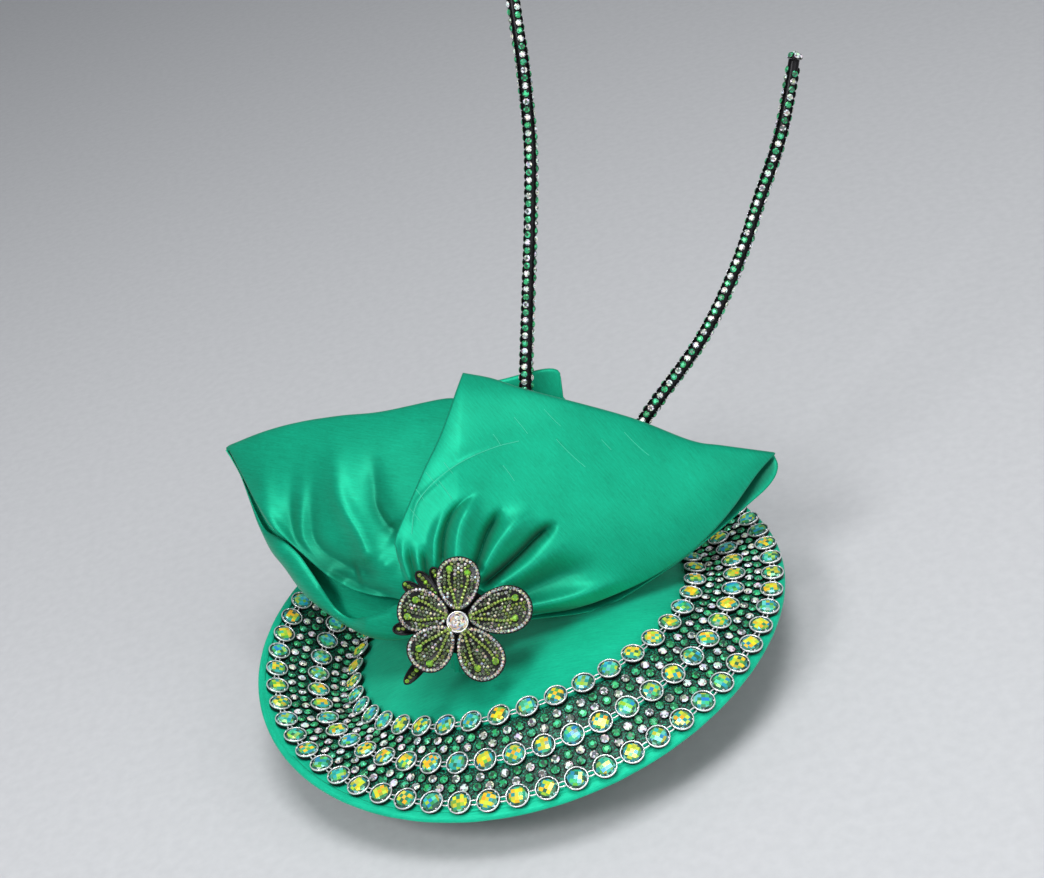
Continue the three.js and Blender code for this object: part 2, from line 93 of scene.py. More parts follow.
# ---------------------------------------------------------------- camera and lights
def bow_axes_point(right, up, front):
    """A point in the bow's axes, measured from the middle of the rim plane."""
    start = np.array([0, 0, RIM_HEIGHT + BOW_RISE])
    return start + right * BOW_RIGHT + up * BOW_UP + front * BOW_FRONT


def add_camera():
    data = bpy.data.cameras.new("camera")
    data.lens = LENS
    data.sensor_width = 36.0
    camera = bpy.data.objects.new("camera", data)
    scene.collection.objects.link(camera)
    axes = np.eye(4)
    axes[:3, 0], axes[:3, 1], axes[:3, 2] = BOW_RIGHT, BOW_UP, BOW_FRONT
    axes[:3, 3] = bow_axes_point(*CAMERA_AT) * MM
    camera.matrix_world = Matrix(axes.tolist())
    scene.camera = camera


def add_softbox(name, place, aim, side, watts, colour=(1, 1, 1)):
    data = bpy.data.lights.new(name, "AREA")
    data.shape = "SQUARE"
    data.size = side
    data.energy = watts
    data.color = colour
    light = bpy.data.objects.new(name, data)
    scene.collection.objects.link(light)
    light.location = place
    light.rotation_euler = (Vector(aim) - Vector(place)).to_track_quat("-Z", "Y").to_euler()


def add_studio():
    add_softbox("key", (-0.75, -0.85, 1.25), (0, 0, 0.07), 0.45, 10)
    add_softbox("fill", (1.0, -0.9, 0.8), (0.03, 0, 0.07), 0.9, 4.5)
    add_softbox("top", (0.12, -0.3, 1.5), (0, 0, 0.05), 0.6, 11)
    add_softbox("front", (0.1, -1.4, 0.55), (0, 0, 0.05), 1.0, 4)
    world = bpy.data.worlds.new("studio")
    world.use_nodes = True
    back = world.node_tree.nodes["Background"]
    back.inputs["Color"].default_value = (0.86, 0.89, 0.94, 1)
    back.inputs["Strength"].default_value = 0.25
    scene.world = world
    scene.view_settings.view_transform = "Standard"


# ---------------------------------------------------------------- materials
class Nodes:
    """Short names for building a node tree round one Principled shader."""

    def __init__(self, name):
        self.material = bpy.data.materials.new(name)
        self.material.use_nodes = True
        self.tree = self.material.node_tree
        self.shader = self.tree.nodes["Principled BSDF"]

    def node(self, kind, **values):
        node = self.tree.nodes.new(kind)
        for key, value in values.items():
            if key in node.inputs.keys():
                node.inputs[key].default_value = value
            else:
                setattr(node, key, value)
        return node

    def link(self, out, into):
        self.tree.links.new(out, into)

    def coordinates(self, attribute, scale):
        """A named vector attribute, or object coordinates in millimetres, scaled."""
        if attribute:
            source = self.node("ShaderNodeAttribute", attribute_name=attribute).outputs["Vector"]
            factor = 1.0
        else:
            source = self.node("ShaderNodeTexCoord").outputs["Object"]
            factor = 1 / MM
        mapping = self.node("ShaderNodeMapping")
        mapping.inputs["Scale"].default_value = [factor * s for s in scale]
        self.link(source, mapping.inputs["Vector"])
        return mapping.outputs["Vector"]

    def noise(self, attribute, scale, detail=2.0, rough=0.5):
        noise = self.node("ShaderNodeTexNoise", Scale=1.0, Detail=detail, Roughness=rough)
        self.link(self.coordinates(attribute, scale), noise.inputs["Vector"])
        return noise.outputs["Fac"]

    def ramp(self, value, stops):
        ramp = self.node("ShaderNodeValToRGB")
        elements = ramp.color_ramp.elements
        while len(elements) < len(stops):
            elements.new(0.5)
        for element, (place, colour) in zip(elements, stops):
            element.position = place
            element.color = (*colour, 1)
        self.link(value, ramp.inputs["Fac"])
        return ramp.outputs["Color"]

    def math(self, operation, a, b):
        node = self.node("ShaderNodeMath", operation=operation)
        for socket, value in zip(node.inputs, (a, b)):
            if isinstance(value, (int, float)):
                socket.default_value = value
            else:
                self.link(value, socket)
        return node.outputs[0]

    def mix(self, factor, a, b, blend="MIX"):
        node = self.node("ShaderNodeMix", data_type="RGBA", blend_type=blend)
        for name, value in (("Factor", factor), ("A", a), ("B", b)):
            socket = [s for s in node.inputs if s.name == name and s.enabled][0]
            if isinstance(value, (int, float)):
                socket.default_value = value
            elif isinstance(value, tuple):
                socket.default_value = (*value, 1)
            else:
                self.link(value, socket)
        return [s for s in node.outputs if s.enabled][0]

    def bump(self, height, distance, strength=1.0):
        bump = self.node("ShaderNodeBump", Strength=strength, Distance=distance)
        self.link(height, bump.inputs["Height"])
        self.link(bump.outputs["Normal"], self.shader.inputs["Normal"])

    def set(self, **values):
        for key, value in values.items():
            self.shader.inputs[key.replace("_", " ")].default_value = value


def satin(name, deep, light, gloss, metallic=0.45):
    """Dupion satin: fine weft threads, thick slubs, and painted shade in the folds' bottoms."""
    n = Nodes(name)
    threads = n.noise("cloth", (0.55, 3.6, 0), 3.0)
    slubs = n.noise("cloth", (0.12, 1.5, 0), 1.0)
    clouds = n.noise("cloth", (0.05, 0.05, 0), 2.0)
    shade = n.math("ADD", n.math("MULTIPLY", threads, 0.42), n.math("MULTIPLY", slubs, 0.28))
    shade = n.math("ADD", shade, n.math("MULTIPLY", clouds, 0.30))
    colour = n.ramp(shade, [(0.24, deep), (0.78, light)])
    # Painted shade: the cloth attribute's third number mixes the base colour towards a quarter of
    # deep, darkest in the folds' valleys.
    parts = n.node("ShaderNodeSeparateXYZ")
    n.link(n.node("ShaderNodeAttribute", attribute_name="cloth").outputs["Vector"],
           parts.inputs["Vector"])
    painted_shade_colour = tuple(0.25 * c for c in deep)
    n.link(n.mix(parts.outputs["Z"], colour, painted_shade_colour), n.shader.inputs["Base Color"])
    rough = n.math("ADD", n.math("MULTIPLY", threads, 0.12), gloss)
    n.link(rough, n.shader.inputs["Roughness"])
    height = n.math("ADD", threads, n.math("MULTIPLY", slubs, 0.8))
    n.bump(height, 0.00009, 0.4)
    n.set(Metallic=metallic, Sheen_Weight=0.06, Specular_IOR_Level=0.22)
    return n.material


def felt(name, deep, light):
    """Short matted wool fibres."""
    n = Nodes(name)
    fibres = n.noise(None, (1.6, 1.6, 1.6), 6.0, 0.7)
    n.link(n.ramp(fibres, [(0.3, deep), (0.7, light)]), n.shader.inputs["Base Color"])
    n.bump(fibres, 0.0004, 0.8)
    n.set(Roughness=0.95, Sheen_Weight=0.35)
    return n.material


def woven(name, deep, light, pitch):
    """An open or ribbed weave from two crossed waves."""
    n = Nodes(name)
    turns = TAU / pitch
    waves = []
    for direction in ("X", "Y"):
        wave = n.node("ShaderNodeTexWave", bands_direction=direction, Scale=1.0, Distortion=0.6)
        n.link(n.coordinates(None, [turns / TAU] * 3), wave.inputs["Vector"])
        waves.append(wave.outputs["Fac"])
    both = n.math("MULTIPLY", *waves)
    n.link(n.ramp(both, [(0.1, deep), (0.6, light)]), n.shader.inputs["Base Color"])
    n.bump(both, 0.0003, 0.7)
    n.set(Roughness=0.85, Sheen_Weight=0.2)
    return n.material


def metal(name, colour, worn, rough, metallic=1.0):
    """Polished or painted metal with fine scratches and duller patches."""
    n = Nodes(name)
    scratches = n.noise(None, (0.4, 6.0, 0.9), 4.0, 0.6)
    patches = n.noise(None, (0.25, 0.25, 0.25), 3.0)
    n.link(n.ramp(patches, [(0.35, worn), (0.6, colour)]), n.shader.inputs["Base Color"])
    n.link(n.math("ADD", n.math("MULTIPLY", scratches, 0.18), rough),
           n.shader.inputs["Roughness"])
    n.bump(scratches, 0.00002, 0.4)
    n.set(Metallic=metallic)
    return n.material


def stones(name, metallic, painted_glow, rough, shine):
    """Foil-backed faceted stones; each facet's colour is the attribute facet, also emitted as
    painted light.
    """
    n = Nodes(name)
    colour = n.node("ShaderNodeAttribute", attribute_name="facet").outputs["Color"]
    haze = n.noise(None, (0.9, 0.9, 0.9), 2.0)
    tinted = n.mix(n.math("MULTIPLY", haze, 0.08), colour, (0.8, 0.9, 0.9))
    n.link(tinted, n.shader.inputs["Base Color"])
    # Painted light: each facet emits its own colour, so the stones shine without a lamp.
    n.link(colour, n.shader.inputs["Emission Color"])
    n.set(Specular_IOR_Level=shine)
    n.link(n.math("ADD", n.math("MULTIPLY", haze, 0.06), rough), n.shader.inputs["Roughness"])
    n.set(Metallic=metallic, Emission_Strength=painted_glow)
    return n.material


def net_material():
    """Dark mesh of the trims, green cloth showing between its threads."""
    n = Nodes("trim_net")
    mottle = n.noise(None, (1.4, 1.4, 1.4), 3.0, 0.6)
    colours = [(0.42, (0.001, 0.007, 0.005)), (0.52, (0.001, 0.06, 0.035)),
               (0.62, (0.005, 0.34, 0.19))]
    n.link(n.ramp(mottle, colours), n.shader.inputs["Base Color"])
    n.bump(mottle, 0.0003, 0.7)
    n.set(Roughness=0.5)
    return n.material


SATIN = satin("satin_bow", (0.000, 0.250, 0.135), (0.003, 0.520, 0.300), 0.40)
# The disc's satin is the bow's cloth again, its colours painted about one and a half times as
# light: painted light.
SATIN_DISC_PAINTED_LIGHTER = satin("satin_disc_painted_lighter", (0.000, 0.380, 0.215), (0.010, 0.760, 0.450), 0.50, 0.28)
# The slub threads are real; their colour, lighter than the bow's satin, is painted sheen.
THREAD = satin("slub_thread", (0.03, 0.48, 0.30), (0.09, 0.70, 0.47), 0.40, 0.2)
FELT = felt("felt_green", (0.004, 0.05, 0.03), (0.02, 0.17, 0.11))
BUCKRAM = woven("buckram_weave", (0.35, 0.31, 0.24), (0.78, 0.74, 0.62), 1.4)
PETERSHAM = woven("petersham_rib", (0.004, 0.04, 0.025), (0.02, 0.14, 0.09), 1.1)
STEEL = metal("spring_steel", (0.62, 0.63, 0.65), (0.45, 0.46, 0.48), 0.22)
SILVER = metal("silver_cups", (0.98, 0.98, 0.98), (0.78, 0.80, 0.82), 0.14, 0.6)
BLACK = metal("black_metal", (0.012, 0.012, 0.014), (0.004, 0.004, 0.005), 0.25, 0.7)
# The third number is the strength of the stones' painted light.
CRYSTAL = stones("coated_crystal", 0.10, 0.20, 0.09, 0.55)
GEM = stones("small_stones", 0.15, 0.12, 0.16, 0.35)
NET = net_material()


# ---------------------------------------------------------------- making pieces
def make(name, points, faces, material, body="hat", slot=None, replaces=(), smooth=True,
         cloth=None, tones=None):
    """One object from points in millimetres. cloth is a place on the flat cloth for each
    point, with the painted shade of its fold as a third number, and tones a colour for each face."""
    mesh = bpy.data.meshes.new(name)
    mesh.from_pydata([tuple(MM * float(x) for x in p) for p in points], [], faces)
    mesh.validate()
    mesh.polygons.foreach_set("use_smooth", [smooth] * len(mesh.polygons))
    if cloth is not None:
        attribute = mesh.attributes.new("cloth", "FLOAT_VECTOR", "POINT")
        flat = [x for c in cloth for x in (*map(float, c), 0.0)[:3]]
        attribute.data.foreach_set("vector", flat)
    if tones is not None:
        attribute = mesh.color_attributes.new("facet", "FLOAT_COLOR", "CORNER")
        flat = []
        for polygon, tone in zip(mesh.polygons, tones):
            flat.extend([*tone, 1.0] * polygon.loop_total)
        attribute.data.foreach_set("color", flat)
    mesh.update()
    piece = bpy.data.objects.new(name, mesh)
    scene.collection.objects.link(piece)
    mesh.materials.append(material)
    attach(piece, body)
    if replaces:
        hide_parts(*replaces)
    return piece


def thicken(piece, thickness, offset=0.0):
    """Gives an open sheet its cloth thickness, in millimetres."""
    modifier = piece.modifiers.new("thickness", "SOLIDIFY")
    modifier.thickness = thickness * MM
    modifier.offset = offset
    return piece


def grid_faces(nu, nv, closed=False):
    """Quads of a grid whose points run v first; closed joins the last column to the first."""
    columns = nu if closed else nu + 1
    faces = []
    for i in range(nu):
        a, b = i * (nv + 1), ((i + 1) % columns) * (nv + 1)
        faces.extend((a + j, b + j, b + j + 1, a + j + 1) for j in range(nv))
    return faces


def wrap(steps, rows, place, capped=False):
    """Points of a sheet that closes on itself: place(turn, share) for each, rows first."""
    points = [place(TAU * k / steps, j / rows) for k in range(steps) for j in range(rows + 1)]
    faces = grid_faces(steps, rows, closed=True)
    if capped:
        faces.append(tuple(k * (rows + 1) for k in range(steps)))
        faces.append(tuple(k * (rows + 1) + rows for k in range(steps))[::-1])
    return points, faces


class Batch:
    """Collects many small solids that make one piece."""

    def __init__(self):
        self.points, self.faces, self.tones = [], [], []

    def add(self, points, faces, tones=None, at=None):
        """at is (origin, x, y, z) for points drawn in their own axes."""
        start = len(self.points)
        p = np.array(points, float)
        if at is not None:
            origin, x, y, z = at
            p = origin + p[:, :1] * x + p[:, 1:2] * y + p[:, 2:3] * z
        self.points.extend(p)
        self.faces.extend([start + i for i in face] for face in faces)
        self.tones.extend(tones or [(0.5, 0.5, 0.5)] * len(faces))

    def make(self, name, material, toned=False, **options):
        tones = self.tones if toned else None
        return make(name, self.points, self.faces, material, tones=tones, **options)


def revolve(profile, sides):
    """Points and faces of a closed outline in (radius, height) turned about Z."""
    points = [(r * math.cos(TAU * k / sides), r * math.sin(TAU * k / sides), h)
              for k in range(sides) for r, h in profile]
    n = len(profile)
    faces = [(k * n + j, (k + 1) % sides * n + j, (k + 1) % sides * n + (j + 1) % n,
              k * n + (j + 1) % n) for k in range(sides) for j in range(n)]
    return points, faces


def normalised(v):
    v = np.array(v, float)
    return v / np.linalg.norm(v)


def square_to(normal, side):
    """(x, y, z) axes with z along normal and x near side."""
    z = normalised(normal)
    x = normalised(np.array(side, float) - np.dot(side, z) * z)
    return x, np.cross(z, x), z


class Path:
    """A smooth line through points, read by its share of the length."""

    def __init__(self, points, closed=False):
        p = [np.array(q, float) for q in points]
        ends = [p[-1], *p, p[0], p[1]] if closed else [2 * p[0] - p[1], *p, 2 * p[-1] - p[-2]]
        fine = []
        for a, b, c, d in zip(ends, ends[1:], ends[2:], ends[3:]):
            for k in range(24):
                t = k / 24
                fine.append(0.5 * (2 * b + (c - a) * t + (2 * a - 5 * b + 4 * c - d) * t**2
                                   + (3 * b - a - 3 * c + d) * t**3))
        fine.append(p[0] if closed else p[-1])
        self.fine = np.array(fine)
        steps = np.linalg.norm(np.diff(self.fine, axis=0), axis=1)
        self.along = np.concatenate([[0], np.cumsum(steps)])
        self.length = self.along[-1]

    def at(self, share):
        """Points at shares of the length; share may be a number or an array."""
        where = np.asarray(share) * self.length
        return np.stack([np.interp(where, self.along, self.fine[:, k])
                         for k in range(self.fine.shape[1])], axis=-1)

    def tangent(self, share):
        step = 0.002
        return normalised(self.at(min(1, share + step)) - self.at(max(0, share - step)))


def tube(batch, path, radius, sides=6, steps=24, closed=False, tone=(0.5, 0.5, 0.5)):
    """A round rod along a path, added to a batch."""
    rings = []
    side = np.array([0.31, 0.17, 0.93])
    count = steps if closed else steps + 1
    for k in range(count):
        share = k / steps
        x, y, _ = square_to(path.tangent(share), side)
        side = x
        centre = path.at(share)
        rings.append([centre + radius * (math.cos(TAU * j / sides) * x
                                         + math.sin(TAU * j / sides) * y)
                      for j in range(sides)])
    points = [p for ring in rings for p in ring]
    faces = [(i * sides + j, (i + 1) % count * sides + j,
              (i + 1) % count * sides + (j + 1) % sides, i * sides + (j + 1) % sides)
             for i in range(steps) for j in range(sides)]
    if not closed:
        faces.append(tuple(range(sides))[::-1])
        faces.append(tuple(steps * sides + j for j in range(sides)))
    batch.add(points, faces, [tone] * len(faces))


# ---------------------------------------------------------------- saucer surface
def shoulder_rise(a):
    plane = CROWN_DROP + CROWN_TILT * np.cos(a - TILT_DIR)
    return CROWN_FLOOR + FLOOR_BLEND * np.log1p(np.exp((plane - CROWN_FLOOR) / FLOOR_BLEND))


def crown_height(r, a):
    share = r / CROWN_REACH
    rise = shoulder_rise(a)
    return CROWN_DROP + (rise - CROWN_DROP) * share + DOME_HEIGHT * (1 - share**3)


def raw_height(r, a):
    rim = RIM_WAVE * np.cos(2 * (a - WAVE_DIR))
    share = (r - SHOULDER_R) / (RIM_R - SHOULDER_R)
    brim = crown_height(SHOULDER_R, a) * (1 - share) + rim * share
    return np.where(r < SHOULDER_R, crown_height(r, a), brim)


def surface_height(r, a):
    r, a = np.asarray(r, float), np.asarray(a, float)
    soft = (raw_height(r - SHOULDER_BLEND, a) + 2 * raw_height(r, a)
            + raw_height(r + SHOULDER_BLEND, a)) / 4
    return RIM_HEIGHT + np.where(r < SHOULDER_R / 2, raw_height(r, a), soft)


def surface_point(r, a, lift=0.0):
    return np.stack([r * np.cos(a), r * np.sin(a), surface_height(r, a) + lift], axis=-1)


def surface_normal(r, a):
    outward = surface_point(r + 0.5, a) - surface_point(r - 0.5, a)
    around = surface_point(r, a + 0.5 / r) - surface_point(r, a - 0.5 / r)
    return normalised(np.cross(outward, around))


def on_satin(r, a, lift):
    return surface_point(r, a) + lift * surface_normal(r, a)


def seat_axes(r, a, lift):
    """(origin, x outwards, y round, z) of a stone that sits on the satin."""
    outward = surface_point(r + 0.5, a) - surface_point(r - 0.5, a)
    return (on_satin(r, a, lift), *square_to(surface_normal(r, a), outward))


# ---------------------------------------------------------------- stones
def jitter(colour, amount):
    return tuple(max(0.0, min(1.0, c * (1 + rng.uniform(-amount, amount)))) for c in colour)


# Facet colours of the coated crystals: the coating's own yellows, greens and blues, with painted
# light as well. CENTRES and COOL are painted glints for the centre facets, EDGES painted shade for
# the rim facets.
CENTRES = [(0.80, 0.60, 0.00), (0.75, 0.68, 0.01), (0.85, 0.46, 0.00), (0.48, 0.60, 0.02),
           (0.70, 0.72, 0.06)]
MIDDLES = [(0.00, 0.34, 0.24), (0.12, 0.42, 0.04), (0.00, 0.30, 0.36), (0.02, 0.28, 0.08),
           (0.01, 0.12, 0.05), (0.40, 0.48, 0.02), (0.02, 0.45, 0.30)]
EDGES = [(0.00, 0.07, 0.04), (0.00, 0.15, 0.10), (0.00, 0.03, 0.02), (0.01, 0.24, 0.26),
         (0.05, 0.22, 0.09), (0.00, 0.05, 0.02), (0.20, 0.52, 0.46)]
COOL = [(0.01, 0.42, 0.46), (0.04, 0.50, 0.22), (0.00, 0.26, 0.50), (0.30, 0.58, 0.10),
        (0.10, 0.60, 0.50)]


def large_stone(batch, at, radius, height):
    """A checker-cut dome: nine squares, a belt of twelve facets and a rim of triangles."""
    steps = [-0.54, -0.18, 0.18, 0.54]
    grid = [(x, y) for y in steps for x in steps]
    edge = [0, 1, 2, 3, 7, 11, 15, 14, 13, 12, 8, 4]
    turns = [math.atan2(grid[i][1], grid[i][0]) for i in edge]
    points = [(x * radius, y * radius, height * (1 - 0.32 * (x * x + y * y))) for x, y in grid]
    points += [(0.80 * radius * math.cos(t), 0.80 * radius * math.sin(t), height * 0.55)
               for t in turns]
    points += [(radius * math.cos(t + TAU / 24), radius * math.sin(t + TAU / 24), 0.0)
               for t in turns]
    faces = [(i, i + 1, i + 5, i + 4) for i in (0, 1, 2, 4, 5, 6, 8, 9, 10)]
    for k in range(12):
        after = (k + 1) % 12
        faces.append((edge[k], 16 + k, 16 + after, edge[after]))
    for k in range(12):
        faces.append((16 + k, 28 + k, 16 + (k + 1) % 12))
        faces.append((16 + k, 28 + (k + 11) % 12, 28 + k))
    # Painted light: the centre squares mostly take a painted glint palette, the belt takes MIDDLES
    # and the rim takes the painted shade of EDGES.
    painted_glow = COOL if rng.random() < 0.45 else CENTRES
    tones = []
    for i in range(len(faces)):
        if i < 9:
            pool = painted_glow if i % 2 == 0 or rng.random() < 0.35 else MIDDLES
        elif i < 21:
            pool = painted_glow if rng.random() < 0.18 else MIDDLES
        else:
            pool = EDGES
        tones.append(jitter(rng.choice(pool), 0.25))
    turn = rng.uniform(0, TAU / 4)
    origin, x, y, z = at
    x2 = math.cos(turn) * x + math.sin(turn) * y
    y2 = math.cos(turn) * y - math.sin(turn) * x
    batch.add(points, faces, tones, (origin, x2, y2, z))


def small_stone(batch, at, radius, height, palette, sides=8):
    """A little brilliant: a table, a crown belt and a short wall."""
    points = [(0.5 * radius * math.cos(TAU * k / sides), 0.5 * radius * math.sin(TAU * k / sides),
               height) for k in range(sides)]
    points += [(radius * math.cos(TAU * (k + 0.5) / sides),
                radius * math.sin(TAU * (k + 0.5) / sides), height * 0.35)
               for k in range(sides)]
    points += [(radius * math.cos(TAU * (k + 0.5) / sides),
                radius * math.sin(TAU * (k + 0.5) / sides), -0.2) for k in range(sides)]
    faces = [tuple(range(sides))]
    for k in range(sides):
        after = (k + 1) % sides
        faces.append((k, sides + k, after))
        faces.append((k, sides + (k - 1) % sides, sides + k))
        faces.append((sides + k, 2 * sides + k, 2 * sides + after, sides + after))
    tones = [jitter(rng.choice(palette), 0.25) for _ in faces]
    batch.add(points, faces, tones, at)


EMERALD = [(0.00, 0.20, 0.06), (0.00, 0.36, 0.12), (0.00, 0.05, 0.02), (0.05, 0.55, 0.25)]
CLEAR = [(0.70, 0.74, 0.72), (0.28, 0.32, 0.30), (0.90, 0.92, 0.90), (0.08, 0.10, 0.09)]
PERIDOT = [(0.20, 0.31, 0.02), (0.09, 0.16, 0.01), (0.31, 0.43, 0.07), (0.03, 0.06, 0.01)]
BRIGHT = [(0.18, 0.42, 0.01), (0.34, 0.60, 0.03), (0.08, 0.22, 0.01)]
MOSS = [(0.02, 0.04, 0.01), (0.06, 0.10, 0.03), (0.12, 0.16, 0.07), (0.30, 0.32, 0.24)]
VEIN = [(0.30, 0.42, 0.05), (0.16, 0.27, 0.02), (0.45, 0.56, 0.16), (0.10, 0.16, 0.02)]
AURORA = [(0.80, 0.80, 0.74), (0.52, 0.34, 0.24), (0.34, 0.46, 0.54), (0.12, 0.12, 0.11),
          (0.62, 0.60, 0.34), (0.40, 0.30, 0.36), (0.30, 0.34, 0.28), (0.04, 0.04, 0.04)]


# ---------------------------------------------------------------- saucer
DISC_WEFT = math.radians(-12)


def disc_cloth(points):
    c, s = math.cos(DISC_WEFT), math.sin(DISC_WEFT)
    return [(p[0] * c + p[1] * s, p[1] * c - p[0] * s) for p in points]


def rim_margin(a):
    """How much farther out the satin edge is at an angle: widest on the left."""
    return -1.4 + 3.4 * np.clip(np.cos(a - math.radians(205)), 0, 1) ** 4


def edge_taper(r):
    """The layers draw together towards the rim."""
    share = min(1.0, max(0.0, (r - 98) / 16))
    return 1 - 0.52 * share**2 * (3 - 2 * share)


def saucer_sheet(name, node, depth, outer, material, slot, steps, rings, thickness):
    """One round sheet that follows the saucer at a depth below the satin's top."""
    angles = np.linspace(0, TAU, steps, endpoint=False)
    shares = np.linspace(0.4 / outer, 1, rings + 1)
    points = [surface_point(share * (outer + rim_margin(a)), a, -depth * edge_taper(share * outer))
              for a in angles for share in shares]
    faces = grid_faces(steps, rings, closed=True)
    faces.append(tuple(k * (rings + 1) for k in range(steps)))
    piece = make(name, points, faces, material, slot=slot, replaces=[node],
                 cloth=disc_cloth(points))
    return thicken(piece, thickness)


def edge_binding():
    section = Path([(116.0, 0.30), (117.4, 0.32), (118.4, 0.12), (118.9, -0.4), (119.0, -1.0),
                    (118.7, -1.6), (118.0, -2.05), (117.0, -2.3), (115.4, -2.35)])
    shares = np.linspace(0, 1, 15)
    profile = section.at(shares)
    steps = 300
    points, cloth = [], []
    for k in range(steps):
        a = TAU * k / steps
        ripple = 0.05 * math.sin(37 * a) + 0.03 * math.sin(61 * a + 1)
        for share, (r, h) in zip(shares, profile):
            reach = r + float(rim_margin(a))
            points.append((reach * math.cos(a), reach * math.sin(a),
                           float(surface_height(r, a)) + h + ripple))
            cloth.append((share * section.length * 0.7 + 120 * a, share * section.length))
    piece = make("edge_binding_satin", points, grid_faces(steps, 14, closed=True), SATIN_DISC_PAINTED_LIGHTER,
                 slot="satin", replaces=["edge_binding"], cloth=cloth)
    thicken(piece, SATIN_THICKNESS)


def build_saucer():
    cover = saucer_sheet("top_cover_satin", "top_cover", 0.4, EDGE_R, SATIN_DISC_PAINTED_LIGHTER, "satin",
                         240, 72, 0.7)
    lining = saucer_sheet("under_lining_felt", "under_lining", 3.2, EDGE_R, FELT, "felt",
                          180, 30, 0.8)
    core = saucer_sheet("brim_core_buckram", "brim_core", 1.8, 112.0, BUCKRAM, "buckram",
                        120, 24, 1.0)
    edge_binding()
    wire = Batch()
    angles = np.linspace(0, TAU, 96, endpoint=False)
    ring = [surface_point(117.5 + rim_margin(a), a, -0.95) for a in angles]
    tube(wire, Path(ring, closed=True), 0.55, 6, 288, closed=True)
    wire.make("brim_wire_ring", STEEL, slot="steel", replaces=["brim_wire"])


# ---------------------------------------------------------------- crystal chains
CUP_WALL = [(3.0, 0.0), (4.5, 0.1), (4.75, 0.6), (4.8, 2.1), (4.5, 2.2), (4.3, 1.8), (3.0, 1.6)]
CUP_RIM = [(4.45, 2.05), (4.85, 1.95), (4.98, 2.3), (4.88, 2.68), (4.66, 2.82), (4.42, 2.6)]
PRONG = [(0.02, 0.42), (0.3, 0.32), (0.46, 0.0), (0.3, -0.32), (0.02, -0.42)]


def crystal_chain(name, r, count, start):
    painted_shade_walls, metalwork, gems = Batch(), Batch(), Batch()
    wall, rim, prong = revolve(CUP_WALL, 24), revolve(CUP_RIM, 28), revolve(PRONG, 7)
    for k in range(count):
        a = math.radians(start) + TAU * k / count
        at = seat_axes(r, a, CUP_LIFT)
        painted_shade_walls.add(*wall, at=at)
        metalwork.add(*rim, at=at)
        for quarter in range(4):
            turn = TAU * (quarter + 0.5) / 4
            out = math.cos(turn) * at[1] + math.sin(turn) * at[2]
            metalwork.add(*prong, at=(at[0] + 4.35 * out + 2.78 * at[3], *at[1:]))
        raised = (at[0] + 1.9 * at[3], *at[1:])
        large_stone(gems, raised, 4.38, 1.8)
        origin, x, y, _ = seat_axes(r, a + math.pi / count, CUP_LIFT + 1.5)
        reach, half = 1.75, 0.95
        loop = [(half, -reach * 0.5), (half, reach * 0.5), (half * 0.6, reach),
                (-half * 0.6, reach), (-half, reach * 0.5), (-half, -reach * 0.5),
                (-half * 0.6, -reach), (half * 0.6, -reach)]
        tube(metalwork, Path([origin + u * x + v * y for u, v in loop], closed=True), 0.34, 5,
             16, closed=True)
    # The cups' sides are the silver cups' own metal, made black as painted shade.
    painted_shade_walls.make(f"{name}_walls", BLACK, slot="silver_cups")
    metalwork.make(f"{name}_cups", SILVER, slot="silver_cups", replaces=[name])
    gems.make(f"{name}_stones", CRYSTAL, toned=True, slot="silver_cups", smooth=False)


# ---------------------------------------------------------------- two-row trims
SETTING = [(0.9, 0.0), (1.95, 0.0), (2.1, 0.8), (1.95, 0.95), (1.6, 0.8), (0.9, 0.8)]


def rhinestone_trim(name, r0, r1):
    settings, gems = Batch(), Batch()
    setting = revolve(SETTING, 12)
    middle = (r0 + r1) / 2
    count = 2 * round(TAU * middle / 5.3 / 2)
    for k in range(count):
        palette = CLEAR if k % 2 else EMERALD
        for row, side in ((0.0, -1), (0.8, 1)):
            a = TAU * (k + row) / count
            at = seat_axes(middle + 1.95 * side, a, TRIM_LIFT)
            tilt = normalised(at[3] + 0.08 * rng.uniform(-1, 1) * at[1]
                              + 0.08 * rng.uniform(-1, 1) * at[2])
            at = (at[0], *square_to(tilt, at[1]))
            settings.add(*setting, at=at)
            small_stone(gems, (at[0] + 0.75 * at[3], *at[1:]), 1.82, 0.95, palette)
    settings.make(f"{name}_settings", BLACK, slot="black_metal")
    gems.make(f"{name}_stones", GEM, toned=True, slot="emerald_glass", smooth=False)
    across, reach = 10, (r1 - r0) / 2 + NET_OVERLAP

    def place(a, share):
        side = 2 * share - 1
        rise = max(0.0, math.cos(math.pi / 2 * side)) ** 1.5
        lift = 0.2 + rise * (0.75 + 0.1 * math.sin(90 * a + 3 * across * share))
        return on_satin(middle + reach * side, a, lift)

    net = make(f"{name}_net", *wrap(360, across, place), NET, slot="emerald_glass",
               replaces=[name])
    thicken(net, 0.4)


